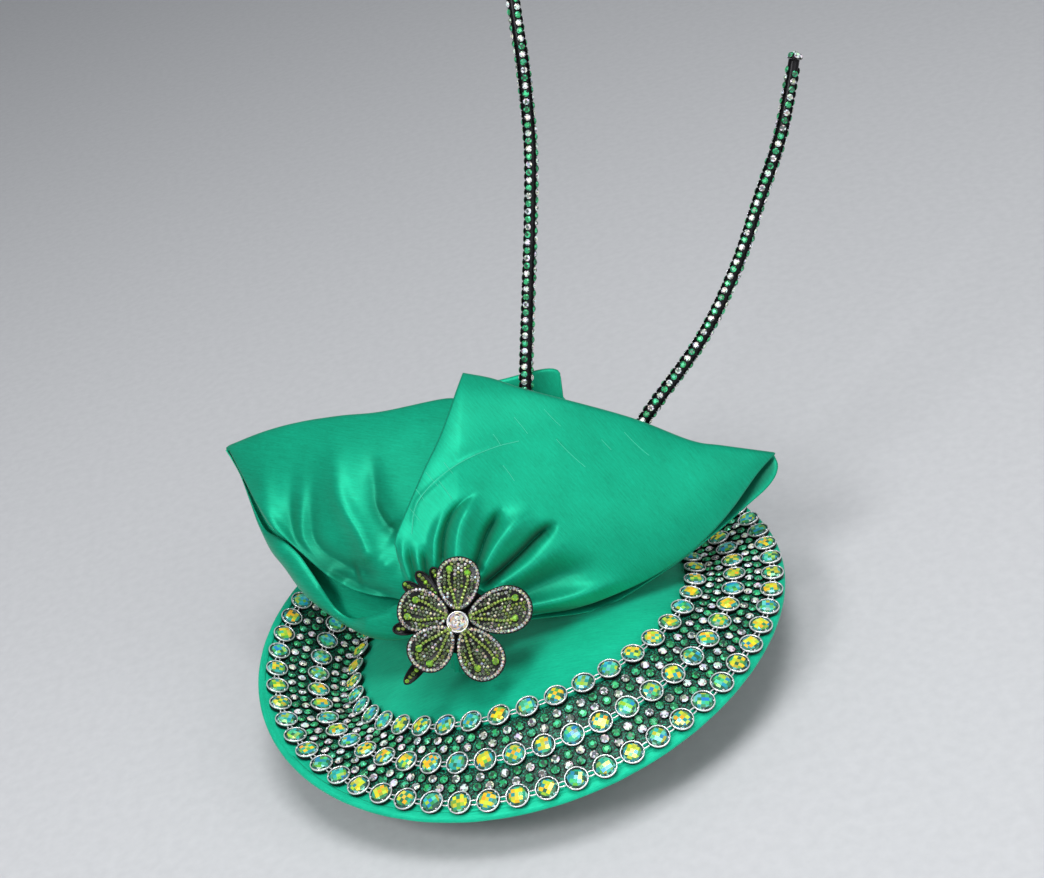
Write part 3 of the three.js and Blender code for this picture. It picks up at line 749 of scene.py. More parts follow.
# ---------------------------------------------------------------- head ring, comb and clips
def head_ring():
    middle, half = (RING_INNER + RING_OUTER) / 2, (RING_OUTER - RING_INNER) / 2
    steps, sides = 216, 28
    points = []
    for k in range(steps):
        a = TAU * k / steps
        puff = 0.35 * math.cos(36 * a)
        for j in range(sides):
            turn = TAU * j / sides
            c, s = math.cos(turn), math.sin(turn)
            wide = math.copysign(abs(c) ** 0.5, c)
            tall = math.copysign(abs(s) ** 0.6, s)
            r = middle + (half - 0.4 + puff) * wide
            top = float(surface_height(r, a)) - 4.8
            z = top * (0.5 + 0.5 * tall)
            points.append((r * math.cos(a), r * math.sin(a), z))
    faces = [(k * sides + j, (k + 1) % steps * sides + j,
              (k + 1) % steps * sides + (j + 1) % sides, k * sides + (j + 1) % sides)
             for k in range(steps) for j in range(sides)]
    ring = make("head_ring_padding", points, faces, FELT, slot="felt", replaces=["head_ring"])


def petersham():
    def place(a, share):
        r = 50.95 + 0.12 * math.sin(130 * a) + 0.2 * math.sin(3 * a)
        return r * math.cos(a), r * math.sin(a), 1.5 + RIBBON_WIDTH * share

    ribbon = make("petersham_band", *wrap(260, 10, place), PETERSHAM, slot="petersham",
                  replaces=["petersham_ribbon"])
    thicken(ribbon, 0.7)


def repaint(material, *names, bevel=0.0):
    """A CAD piece whose shape is right keeps it, with a finish and softened edges."""
    for name in names:
        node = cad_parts[name]
        node.data.materials.clear()
        node.data.materials.append(material)
        if bevel:
            modifier = node.modifiers.new("soft_edges", "BEVEL")
            modifier.width = bevel * MM
            modifier.segments = 2
            modifier.limit_method = "ANGLE"
            modifier.harden_normals = True


def clip_springs():
    for side, x in (("left", -CLIP_X), ("right", CLIP_X)):
        turns, low = 5, -1.3
        wire = [(x + low + 2.6 * k / 60, -4 + 1.3 * math.cos(TAU * turns * k / 60),
                 6.5 + 1.3 * math.sin(TAU * turns * k / 60)) for k in range(61)]
        coil = Batch()
        tube(coil, Path(wire), 0.24, 6, 150)
        coil.make(f"{side}_clip_coil", STEEL, slot="steel", replaces=[f"{side}_clip_spring"])


# ---------------------------------------------------------------- bow
def bow_point(u, v, w):
    u, v, w = np.asarray(u), np.asarray(v), np.asarray(w)
    return KNOT + u[..., None] * BOW_RIGHT + v[..., None] * BOW_UP + w[..., None] * BOW_FRONT


def right_law(u, v):
    return -0.17 * np.maximum(u, 0) - 0.1 * v


def left_law(u, v):
    return -9 * np.minimum(1, np.hypot(u, v) / 30) - 0.5 * np.abs(u) - 0.1 * v


def hump(u, v, at, spread, height):
    return height * np.exp(-((u - at[0]) / spread[0]) ** 2 - ((v - at[1]) / spread[1]) ** 2)


def crease(u, v, line, width, height, fade=0.35, rest=0.0):
    """A ridge, or a valley where height is negative, along a line on the bow's plane. It grows
    from the knot's end, and rest is the share of its height that is left at the far end."""
    near, share = line_distance(u, v, line)
    start = np.clip(share / 0.12, 0, 1)
    end = np.clip((1 - share) / fade, 0, 1)
    soft = (3 * start**2 - 2 * start**3) * (rest + (1 - rest) * (3 * end**2 - 2 * end**3))
    return height * soft / (1 + (near / width) ** 2) ** 2


RIGHT_CREASES = [
    ([(8, 14), (17, 20.9), (25, 27.9), (33.4, 36.2), (41.9, 42)], 2.8, -6.0, 0.25),
    ([(9, 9), (24.3, 18.2), (36, 27.0), (50, 37)], 7.0, 3.2, 0.5),
    ([(6, 16), (15.4, 31.1), (23.8, 40.7), (34.6, 46.5)], 6.5, 4.4, 0.45),
    ([(17, 7.7), (37.6, 17), (62, 26)], 9.0, -4.0, 0.5),
    ([(22, 4.5), (48.1, 9.8), (74, 19)], 5.0, 3.6, 0.5),
    ([(14, 1.5), (33.4, 2.8), (58.7, 6.2), (80.6, 14.2)], 1.6, -2.0, 0.4),
    ([(5.5, 19), (8.7, 28.1), (11.6, 36.4), (14.9, 42.6), (18, 49)], 2.6, -5.2, 0.35),
    ([(-1, 22), (0, 36), (3.4, 45.5), (10.6, 54)], 6.5, 4.6, 0.4),
    ([(-6.8, 22), (-6.6, 33), (-4.5, 42), (0, 48.5), (8, 55)], 1.9, -3.6, 0.5),
    ([(-10.1, 20), (-10.1, 29.4), (-9.3, 36.5), (-5, 48.7)], 2.8, 2.4, 0.5),
    ([(-12.8, 15.9), (-14.2, 24), (-14.7, 33)], 1.7, -2.8, 0.6),
    ([(-14.9, 17.6), (-17.2, 26), (-18.1, 34)], 2.4, 2.0, 0.6),
    ([(-17.5, 17), (-20.2, 26), (-20.7, 34)], 1.5, -2.2, 0.6),
    ([(-19.3, 15.9), (-22.9, 24.8), (-23.9, 36.5)], 2.4, 1.8, 0.5),
    ([(-19.8, 36.5), (-18.6, 46.9), (-14.4, 54), (2.3, 67.4), (25, 75.4)], 0.9, 0.35, 0.3),
]
LEFT_CREASES = [
    ([(-24, 8.2), (-39.4, 11), (-55.4, 17.3), (-65.7, 23.4), (-72.8, 30.7), (-75.3, 39.9),
      (-75.1, 56), (-74, 72)], 5.0, -3.4, 0.6),
    ([(-50.8, 12.7), (-67, 20.3), (-80.5, 31.4), (-87, 44.6), (-89.1, 57.9), (-88.5, 74)],
     7.5, 5.4, 0.6),
    ([(-33.2, 17.2), (-51.8, 21.7), (-62.0, 27.9), (-65.7, 38.3), (-65.0, 70)], 5.5, -3.2, 0.7),
    ([(-45.8, 17.2), (-58.7, 22.4), (-67.6, 29.5), (-70.9, 38.2), (-69.8, 66)], 4.2, 1.8, 0.6),
    ([(-38.2, 20.2), (-43.1, 33.9), (-49.8, 45), (-54.1, 55.2), (-58, 80)], 7.5, 5.4, 0.6),
    ([(-25, 33.3), (-32.4, 40.8), (-36.8, 51), (-39, 74)], 5.5, -3.8, 0.7),
    ([(-28.7, 38.8), (-35.0, 48), (-38.6, 57.5)], 3.2, 1.4, 0.6),
    ([(-46, 17.5), (-36, 20.5), (-25, 26)], 5.5, 3.0, 0.4),
    ([(-100, 56), (-86, 41), (-72, 27), (-58, 17), (-44, 9.8), (-27, 8)], 4.0, 2.2, 0.15),
]
RIGHT_TOP = [(0.5, 103.6), (12.7, 101.2), (25, 97), (42, 92.4), (72.8, 83.9), (97.9, 74.5),
             (112.7, 72.3), (135.6, 69.0)]
RIGHT_LEFT = [(-7.4, 5.9), (-21.8, 16.9), (-24.7, 24), (-26.4, 30.2), (-26.1, 36.5),
              (-15.7, 61.5), (-7.8, 78.7), (0.5, 103.6)]
RIGHT_EDGE = [(9.3, -1.3), (31.3, 2), (48.1, 4.6), (63.9, 9.8), (80.1, 16.8), (96.2, 26.3),
              (107.1, 35.6), (116.8, 46.2), (128, 61.0), (135.6, 69.0)]
LEFT_TOP = [(0, 92), (-8.9, 92), (-35.5, 86.6), (-53.8, 85), (-72.5, 82.4), (-89.1, 78.4),
            (-107, 71.2)]
LEFT_EDGE = [(-12.8, 2.3), (-25.5, 7.3), (-37.2, 8.5), (-49.9, 11.8), (-62.4, 19.6),
             (-78.9, 33.2), (-85.6, 38.8), (-94.5, 51.1), (-101.4, 62.2), (-107, 71.2)]


def fold_shade(u, v, creases, depth):
    """Painted shade: the share of the base colour that is darkened at the bottoms of the valleys.
    """
    shade = 0 * u
    for line, width, height, *ends in creases:
        if height < 0:
            shade = shade + crease(u, v, line, 0.85 * width, -height / depth, *ends)
    return np.clip(shade, 0, 0.85)


def line_distance(u, v, line):
    """Distance from each place to a smooth line, and the share of the line it is nearest."""
    path = Path(line)
    fine, along = path.fine[::4], path.along[::4] / path.length
    near, share = np.full(u.shape, 1e9), np.zeros(u.shape)
    for p, q, s0, s1 in zip(fine, fine[1:], along, along[1:]):
        step = q - p
        t = ((u - p[0]) * step[0] + (v - p[1]) * step[1]) / max(1e-9, step @ step)
        t = np.clip(t, 0, 1)
        d = np.hypot(u - p[0] - t * step[0], v - p[1] - t * step[1])
        closer = d < near
        near = np.where(closer, d, near)
        share = np.where(closer, s0 + t * (s1 - s0), share)
    return near, share


def edge_roll(u, v, line, depth, reach):
    """The cloth turning away towards an edge."""
    near, _ = line_distance(u, v, line)
    return -depth * np.exp(-near / reach)


def right_base(u, v):
    w = right_law(u, v) + edge_roll(u, v, RIGHT_EDGE, 5.0, 9)
    w = w - 0.008 * np.maximum(0, v - 70) ** 2 * np.exp(-((u - 5) / 30) ** 2)
    return w + edge_roll(u, v, RIGHT_LEFT[1:], 2.0, 5) + edge_roll(u, v, RIGHT_TOP, 2.5, 7)


def left_base(u, v):
    w = left_law(u, v) + edge_roll(u, v, LEFT_TOP, 3.0, 7)
    return w + edge_roll(u, v, LEFT_EDGE, 2.0, 4)


def right_front(u, v):
    w = right_base(u, v) + 1.0
    w = w + hump(u, v, (46, 42), (50, 30), 7.5) + hump(u, v, (-2, 68), (20, 14), 2.0)
    for line, width, height, *ends in RIGHT_CREASES:
        w = w + crease(u, v, line, width, height * (1.3 if height > 0 else 1.5), *ends)
    return w


def left_front(u, v):
    w = left_base(u, v) + 1.0 + hump(u, v, (-62, 48), (34, 26), 4.0)
    for line, *profile in LEFT_CREASES:
        w = w + crease(u, v, line, *profile)
    return w


def coons(root, top, side0, side1, ns, nt):
    """(u, v) of a net of cloth between four edges; s runs across it and t away from the knot."""
    s = np.linspace(0, 1, ns + 1)[:, None, None]
    t = np.linspace(0, 1, nt + 1)[None, :, None]
    low, high = root.at(s[:, 0, 0])[:, None, :], top.at(s[:, 0, 0])[:, None, :]
    left, right = side0.at(t[0, :, 0])[None, :, :], side1.at(t[0, :, 0])[None, :, :]
    corners = ((1 - s) * (1 - t) * low[0, 0] + s * (1 - t) * low[-1, 0]
               + (1 - s) * t * high[0, 0] + s * t * high[-1, 0])
    net = (1 - t) * low + t * high + (1 - s) * left + s * right - corners
    return net[..., 0], net[..., 1]


def ring_arc(radius, start, end):
    turns = [math.radians(start + (end - start) * k / 8) for k in range(9)]
    return Path([(radius * math.cos(t), radius * math.sin(t)) for t in turns])


def weft_cloth(net, angle):
    """Flat cloth coordinates with x along the weft's direction on the bow's plane."""
    c, s = math.cos(math.radians(angle)), math.sin(math.radians(angle))
    u, v = (net - KNOT) @ BOW_RIGHT, (net - KNOT) @ BOW_UP
    return np.stack([u * c + v * s, v * c - u * s], axis=-1)


def wing(name, node, front, rear, weft, shades, extra=None):
    """A loop of cloth: the front layer, a rolled fold along its top and the rear layer. shades
    are the painted shade for the front and the rear layer."""
    roll = 7
    turns = np.linspace(0, math.pi, roll + 2)[1:-1]
    middle = (front[:, -1] + rear[:, -1]) / 2
    half = (front[:, -1] - rear[:, -1]) / 2
    reach = np.linalg.norm(half, axis=1, keepdims=True)
    away = front[:, -1] - front[:, -4]
    away /= np.linalg.norm(away, axis=1, keepdims=True)
    fold = np.stack([middle + half * math.cos(t) + away * reach * math.sin(t)
                     for t in turns], axis=1)
    net = np.concatenate([front, fold, rear[:, ::-1]], axis=1)
    if extra is not None:
        blank = np.repeat(net[-1:, :front.shape[1] + roll], len(extra), axis=0)
        net = np.concatenate([net, np.concatenate([blank, extra[:, ::-1]], axis=1)], axis=0)
    # Painted shade goes in as the third number of each cloth point.
    shade = np.zeros(net.shape[:2] + (1,))
    rows, columns = front.shape[:2]
    shade[:rows, :columns, 0], shade[:rows, columns + roll:, 0] = shades[0], shades[1][:, ::-1]
    cloth = np.concatenate([weft_cloth(net, weft), shade], axis=-1).reshape(-1, 3)
    ns, nt = net.shape[0] - 1, net.shape[1] - 1
    faces = grid_faces(ns, nt)
    if extra is not None:
        first = front.shape[0] - 1
        keep_from = front.shape[1] + roll
        faces = [f for k, f in enumerate(faces) if k // nt < first or k % nt >= keep_from]
    piece = make(name, net.reshape(-1, 3), faces, SATIN, slot="satin", replaces=[node],
                 cloth=cloth)
    return thicken(piece, SATIN_THICKNESS)


def right_wing():
    ns, nt = 150, 120
    top, left, edge = Path(RIGHT_TOP), Path(RIGHT_LEFT), Path(RIGHT_EDGE)
    u, v = coons(ring_arc(9.4, 142, -8), top, left, edge, ns, nt)
    front, front_shade = bow_point(u, v, right_front(u, v)), fold_shade(u, v, RIGHT_CREASES, 9)
    rear_edge = Path([(9.3, -2.3), (31.3, -0.2), (59.4, 3.5), (85.8, 17.5), (107.7, 33.1),
                      (124.5, 47.5), (132.4, 54.5), (136.6, 60), (137.9, 65), (136.4, 69.2)])
    rear_top = Path([(0.5, 103.2), (12.7, 100.8), (25, 96.6), (42, 92), (72.8, 83.5),
                     (97.9, 74.1), (112.7, 71.9), (136.4, 69.2)])
    u, v = coons(ring_arc(9.4, 142, -12), rear_top, left, rear_edge, ns, nt)
    t = np.linspace(0, 1, nt + 1)[None, :]
    gap = 1.6 + 7.0 * np.sin(math.pi * t) ** 0.7 + 0 * u
    rear = bow_point(u, v, right_base(u, v) - gap)
    # Painted shade on the rear layer's inside where it shows past the front edge, left light in a
    # narrow band along the rear layer's rim.
    inside = np.exp(-(line_distance(u, v, RIGHT_EDGE)[0] / 6.5) ** 4)
    from_rim, _ = line_distance(u, v, rear_edge.fine[::12])
    rear_shade = 0.8 * inside * (1 - np.exp(-(from_rim / 1.4) ** 2))
    return wing("bow_right_wing_satin", "bow_right_wing", front, rear, -49,
                (front_shade, rear_shade))


def left_wing():
    ns, nt = 130, 120
    top, edge = Path(LEFT_TOP), Path(LEFT_EDGE)
    inner = Path([(-2.3, 12.8), (-6, 40), (-4, 70), (0, 92)])
    u, v = coons(ring_arc(13, 100, 170), top, inner, edge, ns, nt)
    front, front_shade = bow_point(u, v, left_front(u, v)), fold_shade(u, v, LEFT_CREASES, 7)
    outline = Path([(-12.2, -4.4), (-25.7, -9.6), (-37.4, -9.9), (-48.7, -6.2), (-57, -1.8),
                    (-65.9, 4.3), (-72.1, 9.8), (-79.3, 18.8), (-86.5, 27), (-92.5, 37.5),
                    (-97, 48.7), (-102.1, 61.2), (-108.6, 71.2)])
    rear_top = Path([(0, 91), (-8.9, 91), (-35.5, 86), (-53.8, 84.4), (-72.5, 81.8),
                     (-89.1, 77.8), (-108.6, 71.2)])
    u, v = coons(ring_arc(13, 100, 200), rear_top, inner, outline, ns, nt)
    t = np.linspace(0, 1, nt + 1)
    gap = 1.6 + 9.0 * np.sin(math.pi * np.clip(t, 0, 1)) ** 0.7
    depth = left_base(u, v) - gap[None, :]
    rear = bow_point(u, v, depth)
    lip = Path([(-12.8, 1.2), (-25.3, 5.9), (-32.9, 2.5), (-41.3, -0.4), (-48.1, -1.6),
                (-55, 2.4), (-61.9, 12.5), (-67.1, 19.7), (-72.3, 26), (-80, 32), (-88.5, 35.5),
                (-94, 44), (-98.5, 54), (-102.5, 62), (-108.2, 71)])
    curl = lip_curl(outline.at(t), depth[-1], lip.at(t), 9)
    return wing("bow_left_wing_satin", "bow_left_wing", front, rear, -8, (front_shade, 0 * u),
                extra=curl)


def lip_curl(start, start_depth, end, rows):
    """The rear layer's free edge, rolled forwards from its outline to the lip."""
    end_depth = left_law(end[:, 0], end[:, 1]) + 4.5
    near = np.clip(np.linalg.norm(end - start, axis=1) / 9, 0, 1)
    end_depth = start_depth + (end_depth - start_depth) * (0.25 + 0.75 * near)
    curl = []
    for k in range(1, rows + 1):
        q = k / rows
        a, b, c = (1 - q) ** 2, 2 * q * (1 - q), q * q
        bulge = start + 0.12 * (start - end)
        uv = a * start + b * bulge + c * end
        w = a * start_depth + b * end_depth + c * end_depth
        curl.append(bow_point(uv[:, 0], uv[:, 1], w))
    return np.array(curl)


def back_fold():
    edge = Path([(15, 102), (41, 107), (46, 93), (81, 72), (110, 62), (124, 54), (116, 46),
                 (94, 42)])
    ns, nt = 90, 50
    s = np.linspace(0, 1, ns + 1)[:, None]
    t = np.linspace(0, 1, nt + 1)[None, :]
    rim = edge.at(s[:, 0])
    u = 54 + (rim[:, 0:1] - 54) * (0.03 + 0.97 * t)
    v = 20 + (rim[:, 1:2] - 20) * (0.03 + 0.97 * t)
    law = -62 + 0.12 * v + 0.12 * np.maximum(0, u - 40)
    pleat = 2.2 * np.sin(26 * s + 0.4) * (1 - t) * t * 4 * 0.5
    layers = [bow_point(u, v, law + pleat + side * (1.6 + 1.2 * np.sin(math.pi * t)))
              for side in (1, -1)]
    net = np.concatenate([layers[0], layers[1][:, ::-1]], axis=1)
    cloth = weft_cloth(net, -60).reshape(-1, 2)
    piece = make("bow_back_fold_satin", net.reshape(-1, 3),
                 grid_faces(ns, 2 * nt + 1), SATIN, slot="satin", replaces=["bow_back_fold"],
                 cloth=cloth)
    return thicken(piece, SATIN_THICKNESS)


def bow_knot():
    """A gathered wrap behind the brooch."""
    cloth = []

    def place(a, share):
        b = math.pi * (0.02 + 0.96 * share)
        r = 8.2 * (1 + 0.05 * math.sin(9 * a + 2 * b)) * math.sin(b)
        cloth.append((8 * a, 8 * b))
        return bow_point(r * math.cos(a), r * math.sin(a), -2.5 + 5 * math.cos(b))

    make("bow_knot_wrap", *wrap(96, 24, place, capped=True), SATIN, slot="satin",
         replaces=["bow_knot"], cloth=cloth)


def bow_foot():
    """The gathered stem that the bow is sewn down by."""
    r = math.hypot(KNOT[0], KNOT[1])
    low = float(surface_height(r, math.atan2(KNOT[1], KNOT[0]))) + 2.8
    high = KNOT[2] - 11
    cloth = []

    def place(a, share):
        radius = (9 - 3 * share) * (1 + 0.06 * math.sin(14 * a + 2 * share))
        cloth.append((8 * a, 12 * share))
        return (KNOT[0] + radius * math.cos(a), KNOT[1] + 2 + radius * math.sin(a),
                low + (high - low) * share)

    make("bow_foot_gather", *wrap(96, 16, place, capped=True), SATIN, slot="satin",
         replaces=["bow_foot"], cloth=cloth)


# long slubs of the right wing's cloth: start on the bow's plane, then length
SLUBS = [(35.6, 88.9, 10), (40.7, 76.2, 17), (69.8, 79.2, 14.5), (22.9, 85.5, 9), (14, 78.3, 6),
         (-18.2, 55.2, 5.6), (-14.1, 62.4, 8), (-6.5, 66.5, 6), (-9.4, 59.8, 10.7),
         (18.2, 65.2, 8), (60, 76, 6), (-20.5, 47, 6)]
SLUB_SLOPE = math.radians(-49)


def slub_threads():
    threads = Batch()
    lines = []
    for u, v, length in SLUBS:
        bend = rng.uniform(-0.12, 0.12)
        steps = [length * k / 6 for k in range(7)]
        lines.append(([(u + d * math.cos(SLUB_SLOPE + bend * k / 6),
                        v + d * math.sin(SLUB_SLOPE + bend * k / 6))
                       for k, d in enumerate(steps)], 0.13))
    # The arc is a pressed crease, drawn as a thread in the lighter slub colour: painted highlight
    # along the crease.
    arc = Path([(-19.8, 36.5), (-18.6, 46.9), (-14.4, 54), (-8.2, 60.3), (2.3, 67.4),
                (14.9, 72.8), (25, 75.4)])
    lines.append((arc.at(np.linspace(0, 1, 40)), 0.16))
    for line, radius in lines:
        uv = np.array(line)
        w = right_front(uv[:, 0], uv[:, 1]) + 0.3
        tube(threads, Path(bow_point(uv[:, 0], uv[:, 1], w)), radius, 5, 4 * len(uv))
    cloth = [(p[0], p[2]) for p in threads.points]
    threads.make("bow_right_wing_slubs", THREAD, slot="satin", cloth=cloth)


# ---------------------------------------------------------------- brooch
BROOCH_LIFT, BROOCH_UP, BROOCH_TILT, PETAL_STEP = 9.0, 1.7, 0.3, 3.0
BROOCH_Z = normalised(BOW_FRONT + BROOCH_TILT * BOW_UP)
BROOCH_X = BOW_RIGHT
BROOCH_Y = np.cross(BROOCH_Z, BROOCH_X)
PETALS = [("top", 90, 26.2, 16.8, 2), ("right", 12, 30.5, 18.6, 1),
          ("lower_right", -57, 27.7, 17.2, 2), ("lower_left", 227, 24.8, 17.0, 3),
          ("left", 166, 25, 17.4, 1)]
LEAVES = [("leaf_1", 146, 27.5, 5), ("leaf_2", 131, 26.5, 5), ("leaf_3", 117, 24.5, 4.5),
          ("leaf_4", 189, 27, 5.5), ("stem", 231, 34, 5)]


def brooch_axes(angle, level):
    turn = math.radians(angle)
    x = math.cos(turn) * BROOCH_X + math.sin(turn) * BROOCH_Y
    return bow_point(0, BROOCH_UP, BROOCH_LIFT + level), x, np.cross(BROOCH_Z, x), BROOCH_Z


class Leaf:
    """A cupped metal blade in its own axes, x outwards, that rows of stones follow."""

    def __init__(self, inner, outer, width, cup, egg):
        self.middle, self.a, self.b = (inner + outer) / 2, (outer - inner) / 2, width / 2
        self.cup, self.egg = cup, egg

    def point(self, scale, turn, lift=0.0):
        y = math.sin(turn) * (1 + self.egg * math.cos(turn))
        return self.place(scale * math.cos(turn), scale * y, lift)

    def place(self, x, y, lift=0.0):
        """A place given as shares of the half length and half width."""
        z = self.cup * (x * x + y * y) + lift
        return np.array([self.middle + self.a * x, self.b * y, z])

    def plate(self, batch, at, thickness):
        rings, sides = 7, 40
        points = [self.point(k / rings, TAU * j / sides, lift)
                  for lift in (0.0, -thickness) for k in range(1, rings + 1)
                  for j in range(sides)]
        layer = rings * sides
        faces = [tuple(range(sides)), tuple(layer + j for j in range(sides))[::-1]]
        for base in (0, layer):
            for k in range(rings - 1):
                for j in range(sides):
                    a, b = base + k * sides + j, base + k * sides + (j + 1) % sides
                    face = (a, a + sides, b + sides, b)
                    faces.append(face if base == 0 else face[::-1])
        rim = (rings - 1) * sides
        for j in range(sides):
            a, b = rim + j, rim + (j + 1) % sides
            faces.append((a, layer + a, layer + b, b))
        batch.add(points, faces, at=at)

    def row(self, scale, pitch):
        """A scaled outline, and how many stones of a pitch fit round it."""
        loop = Path([self.point(scale, TAU * k / 24) for k in range(24)], closed=True)
        count = max(6, round(loop.length / pitch))
        return loop, count


def set_stone(gems, at, place, radius, height, palette):
    origin, x, y, z = at
    centre = origin + place[0] * x + place[1] * y + (place[2] + 0.25) * z
    tilt = normalised(z + 0.1 * rng.uniform(-1, 1) * x + 0.1 * rng.uniform(-1, 1) * y)
    small_stone(gems, (centre, *square_to(tilt, x)), radius, height, palette, 7)


def ridge(metalwork, at, loop, radius, lift):
    origin, x, y, z = at
    line = [origin + p[0] * x + p[1] * y + (p[2] + lift) * z
            for p in loop.at(np.linspace(0, 1, 30, endpoint=False))]
    tube(metalwork, Path(line, closed=True), radius, 6, 60, closed=True)


def fill_stones(gems, at, blade, taken):
    """Packed small stones in what the border and the veins leave free."""
    pitch = 1.62
    for i in range(-8, 9):
        for j in range(-7, 8):
            x = (i + 0.5 * (j % 2)) * pitch / blade.a
            y = j * pitch * 0.87 / blade.b
            if math.hypot(x, y / (1 + blade.egg * x)) > 0.84:
                continue
            place = blade.place(x, y, 0.05)
            if min(np.linalg.norm(place[:2] - t[:2]) - r for t, r in taken) < 0.35:
                continue
            palette = rng.choice([PERIDOT, MOSS, MOSS, MOSS, AURORA])
            set_stone(gems, at, place, 0.74, 0.8, palette)


def petal(name, angle, outer, width, step):
    at = brooch_axes(angle, (step - 1) * PETAL_STEP + 2.2)
    blade = Leaf(4.6, outer, width, 1.6, 0.22)
    metalwork, gems = Batch(), Batch()
    blade.plate(metalwork, at, 1.2)
    ridge(metalwork, at, blade.row(1.03, 2)[0], 0.34, 0.10)
    loop, count = blade.row(0.95, 1.5)
    for k in range(count):
        set_stone(gems, at, loop.at((k + 0.5) / count), 0.80, 0.8, AURORA)
    taken = []
    for side, reach in ((-1, 0.42), (1, 0.56)):
        vein = Path([blade.place(-0.96, 0.06 * side), blade.place(-0.45, 0.24 * side),
                     blade.place(0.1, 0.46 * side), blade.place(reach, 0.44 * side)])
        steps = int(vein.length / 1.45)
        for k in range(steps):
            spot = vein.at(k / steps)
            set_stone(gems, at, spot + [0, 0, 0.45], 0.72, 0.8, VEIN)
            taken.append((spot, 1.0))
        end = vein.at(1.0)
        set_stone(gems, at, end + [0, 0, 0.4], 1.5, 1.2, BRIGHT)
        taken.append((end, 1.7))
    fill_stones(gems, at, blade, taken)
    metalwork.make(f"brooch_petal_{name}_metal", BLACK, slot="black_metal",
                   replaces=[f"brooch_petal_{name}"])
    gems.make(f"brooch_petal_{name}_stones", GEM, toned=True, slot="peridot_stones",
              smooth=False)


def leaf(name, angle, outer, width):
    at = brooch_axes(angle, 0.4)
    blade = Leaf(13.5, outer, width, 0.5, 0.1)
    metalwork, gems = Batch(), Batch()
    blade.plate(metalwork, at, 1.2)
    ridge(metalwork, at, blade.row(1.0, 2)[0], 0.45, 0.2)
    reach = outer - 13.5
    for k in range(int(reach / 2.0)):
        place = np.array([14.8 + 2.0 * k, 0, 0.25])
        set_stone(gems, at, place, 0.95, 0.8, PERIDOT if k % 3 else BRIGHT)
    metalwork.make(f"brooch_{name}_metal", BLACK, slot="black_metal", replaces=[f"brooch_{name}"])
    gems.make(f"brooch_{name}_stones", GEM, toned=True, slot="peridot_stones", smooth=False)


def brooch():
    for spec in PETALS:
        petal(*spec)
    for spec in LEAVES:
        leaf(*spec)
    at = brooch_axes(0, 9.4)
    cup, gem = Batch(), Batch()
    cup.add(*revolve([(0.5, -8.6), (3.4, -8.6), (3.6, -0.4), (4.4, 0.2), (4.5, 0.9), (4.1, 1.0),
                      (3.8, 0.4), (0.5, 0.2)], 24), at=at)
    cup.make("brooch_centre_cup", SILVER, slot="silver_cups")
    rings, sides = 6, 14
    points = [(0, 0, 3.2)]
    for k in range(1, rings + 1):
        tilt = math.pi / 2 * k / rings
        for j in range(sides):
            turn = TAU * (j + 0.5 * (k % 2)) / sides
            points.append((4.1 * math.sin(tilt) * math.cos(turn),
                           4.1 * math.sin(tilt) * math.sin(turn), 0.5 + 2.7 * math.cos(tilt)))
    faces = [(0, 1 + j, 1 + (j + 1) % sides) for j in range(sides)]
    for k in range(rings - 1):
        a, b = 1 + k * sides, 1 + (k + 1) * sides
        shift = 1 if k % 2 else 0
        for j in range(sides):
            after = (j + 1) % sides
            if shift:
                faces.append((a + j, b + after, a + after))
                faces.append((a + j, b + j, b + after))
            else:
                faces.append((a + j, b + j, a + after))
                faces.append((a + after, b + j, b + after))
    gem.add(points, faces, [jitter(rng.choice(AURORA), 0.25) for _ in faces], at)
    gem.make("brooch_centre_gem", CRYSTAL, toned=True, slot="clear_crystal", smooth=False,
             replaces=["brooch_centre_stone"])
    repaint(BLACK, "brooch_plate", bevel=0.4)


# ---------------------------------------------------------------- antennae
ROUTES = {
    "left": [(33.7, 15.2, -47.9), (31.3, 39.3, -44.4), (29, 68, -41), (28, 100, -38),
             (29, 137, -34), (30, 171, -31), (30, 201, -28), (27, 233, -25), (24, 253, -23),
             (21, 272, -21)],
    "right": [(46.7, 18.7, -47.4), (54.8, 37.3, -44.9), (65, 57, -42.5), (80, 85, -40),
              (104, 119, -36), (119, 150, -33), (129, 180, -30), (137, 205, -27),
              (141, 226, -25), (143, 239, -24)],
}


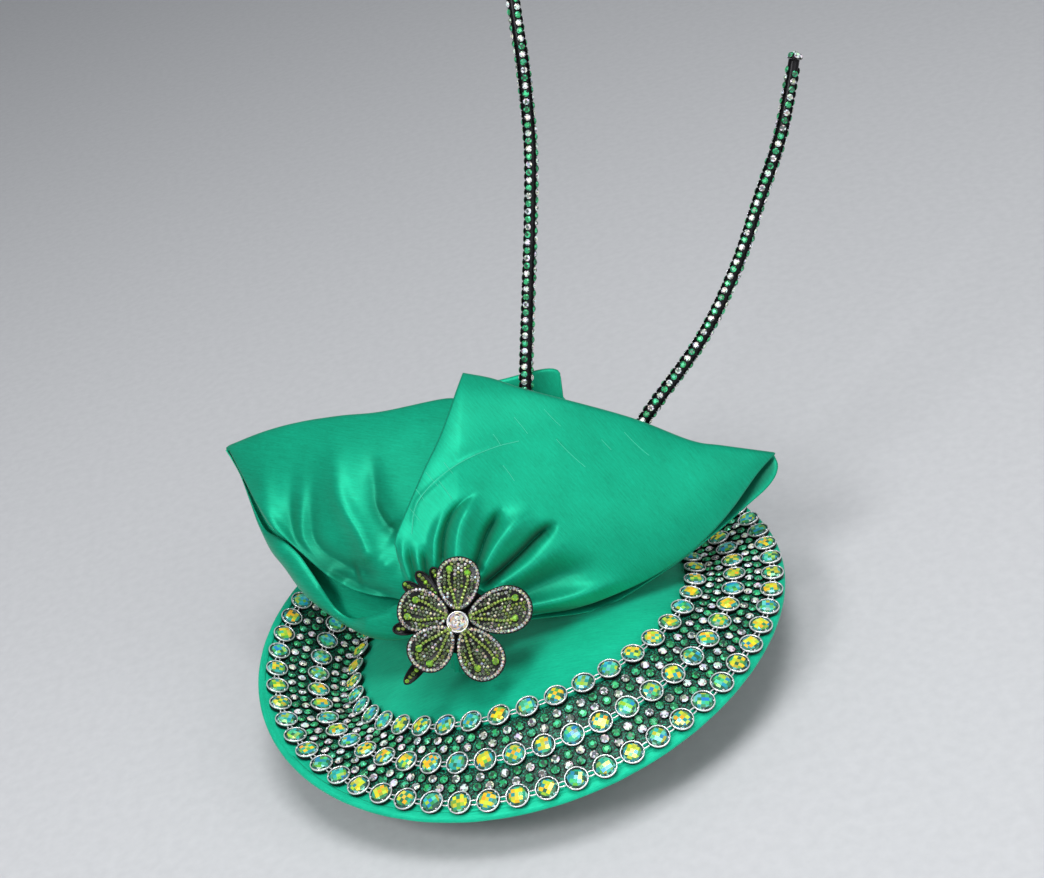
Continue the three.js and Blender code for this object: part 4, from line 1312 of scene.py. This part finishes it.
def antenna(side):
    body = f"{side}_antenna"
    route = Path([bow_point(*p) for p in ROUTES[side]])
    core, gems = Batch(), Batch()
    start = 1.2 / route.length
    tube(core, Path(route.at(np.linspace(start, 1, 60))), 2.45, 14, 180)
    columns, pitch = 4, 3.35
    count = int((route.length - 4) / pitch)
    across = BOW_RIGHT
    for k in range(count):
        for c in range(columns):
            share = (3.2 + pitch * (k + 0.5 * (c % 2))) / route.length
            if share > 0.996:
                continue
            tangent = route.tangent(share)
            x, y, _ = square_to(tangent, across)
            turn = TAU * c / columns + 0.5 + 0.35 * math.sin(k * 0.09) + 0.02 * k
            out = math.cos(turn) * x + math.sin(turn) * y
            origin = route.at(share) + 2.3 * out
            at = (origin, tangent, np.cross(out, tangent), out)
            core.add(*revolve([(0.6, 0.0), (1.55, 0.0), (1.6, 0.45), (0.6, 0.45)], 9), at=at)
            small_stone(gems, (origin + 0.35 * out, *at[1:]), 1.42, 0.65,
                        CLEAR if k % 2 else EMERALD)
    x, y, z = square_to(route.tangent(1.0), across)
    for tilt, turns in ((0.0, 1), (0.95, 5)):
        for c in range(turns):
            turn = TAU * c / turns
            out = math.sin(tilt) * (math.cos(turn) * x + math.sin(turn) * y) + math.cos(tilt) * z
            at = (route.at(1.0) + 3.0 * out, *square_to(out, x + 0.1 * y))
            small_stone(gems, at, 1.45, 0.8, CLEAR if c % 2 == 0 else EMERALD)
    core.make(f"{side}_antenna_core", BLACK, body=body, slot="black_metal",
              replaces=[f"{side}_antenna_sleeve"])
    gems.make(f"{side}_antenna_stones", GEM, toned=True, body=body, slot="emerald_glass",
              smooth=False)


# ---------------------------------------------------------------- floor and assembly
def floor():
    mesh = bpy.data.meshes.new("floor")
    mesh.from_pydata([(-4, -4, 0), (4, -4, 0), (4, 6, 0), (-4, 6, 0)], [], [(0, 1, 2, 3)])
    plane = bpy.data.objects.new("floor", mesh)
    scene.collection.objects.link(plane)
    n = Nodes("floor_paper")
    grain = n.noise(None, (0.2, 0.2, 0.2), 3.0)
    n.link(n.ramp(grain, [(0.3, (0.60, 0.61, 0.63)), (0.7, (0.64, 0.65, 0.67))]),
           n.shader.inputs["Base Color"])
    n.set(Roughness=0.9)
    mesh.materials.append(n.material)


add_camera()
add_studio()
floor()
build_saucer()
for chain in CHAINS:
    crystal_chain(*chain)
for trim in TRIMS:
    rhinestone_trim(*trim)
head_ring()
petersham()
repaint(STEEL, "hair_comb", bevel=0.35)
for clip_side in ("left", "right"):
    repaint(STEEL, f"{clip_side}_clip_base", f"{clip_side}_clip_lever", bevel=0.15)
    repaint(STEEL, f"{clip_side}_clip_pin", f"{clip_side}_antenna_wire")
    repaint(BLACK, f"{clip_side}_antenna_tip")
    antenna(clip_side)
clip_springs()
repaint(BLACK, "antenna_bracket", bevel=0.3)
wings = [right_wing(), left_wing(), back_fold()]
bow_knot()
bow_foot()
slub_threads()
brooch()
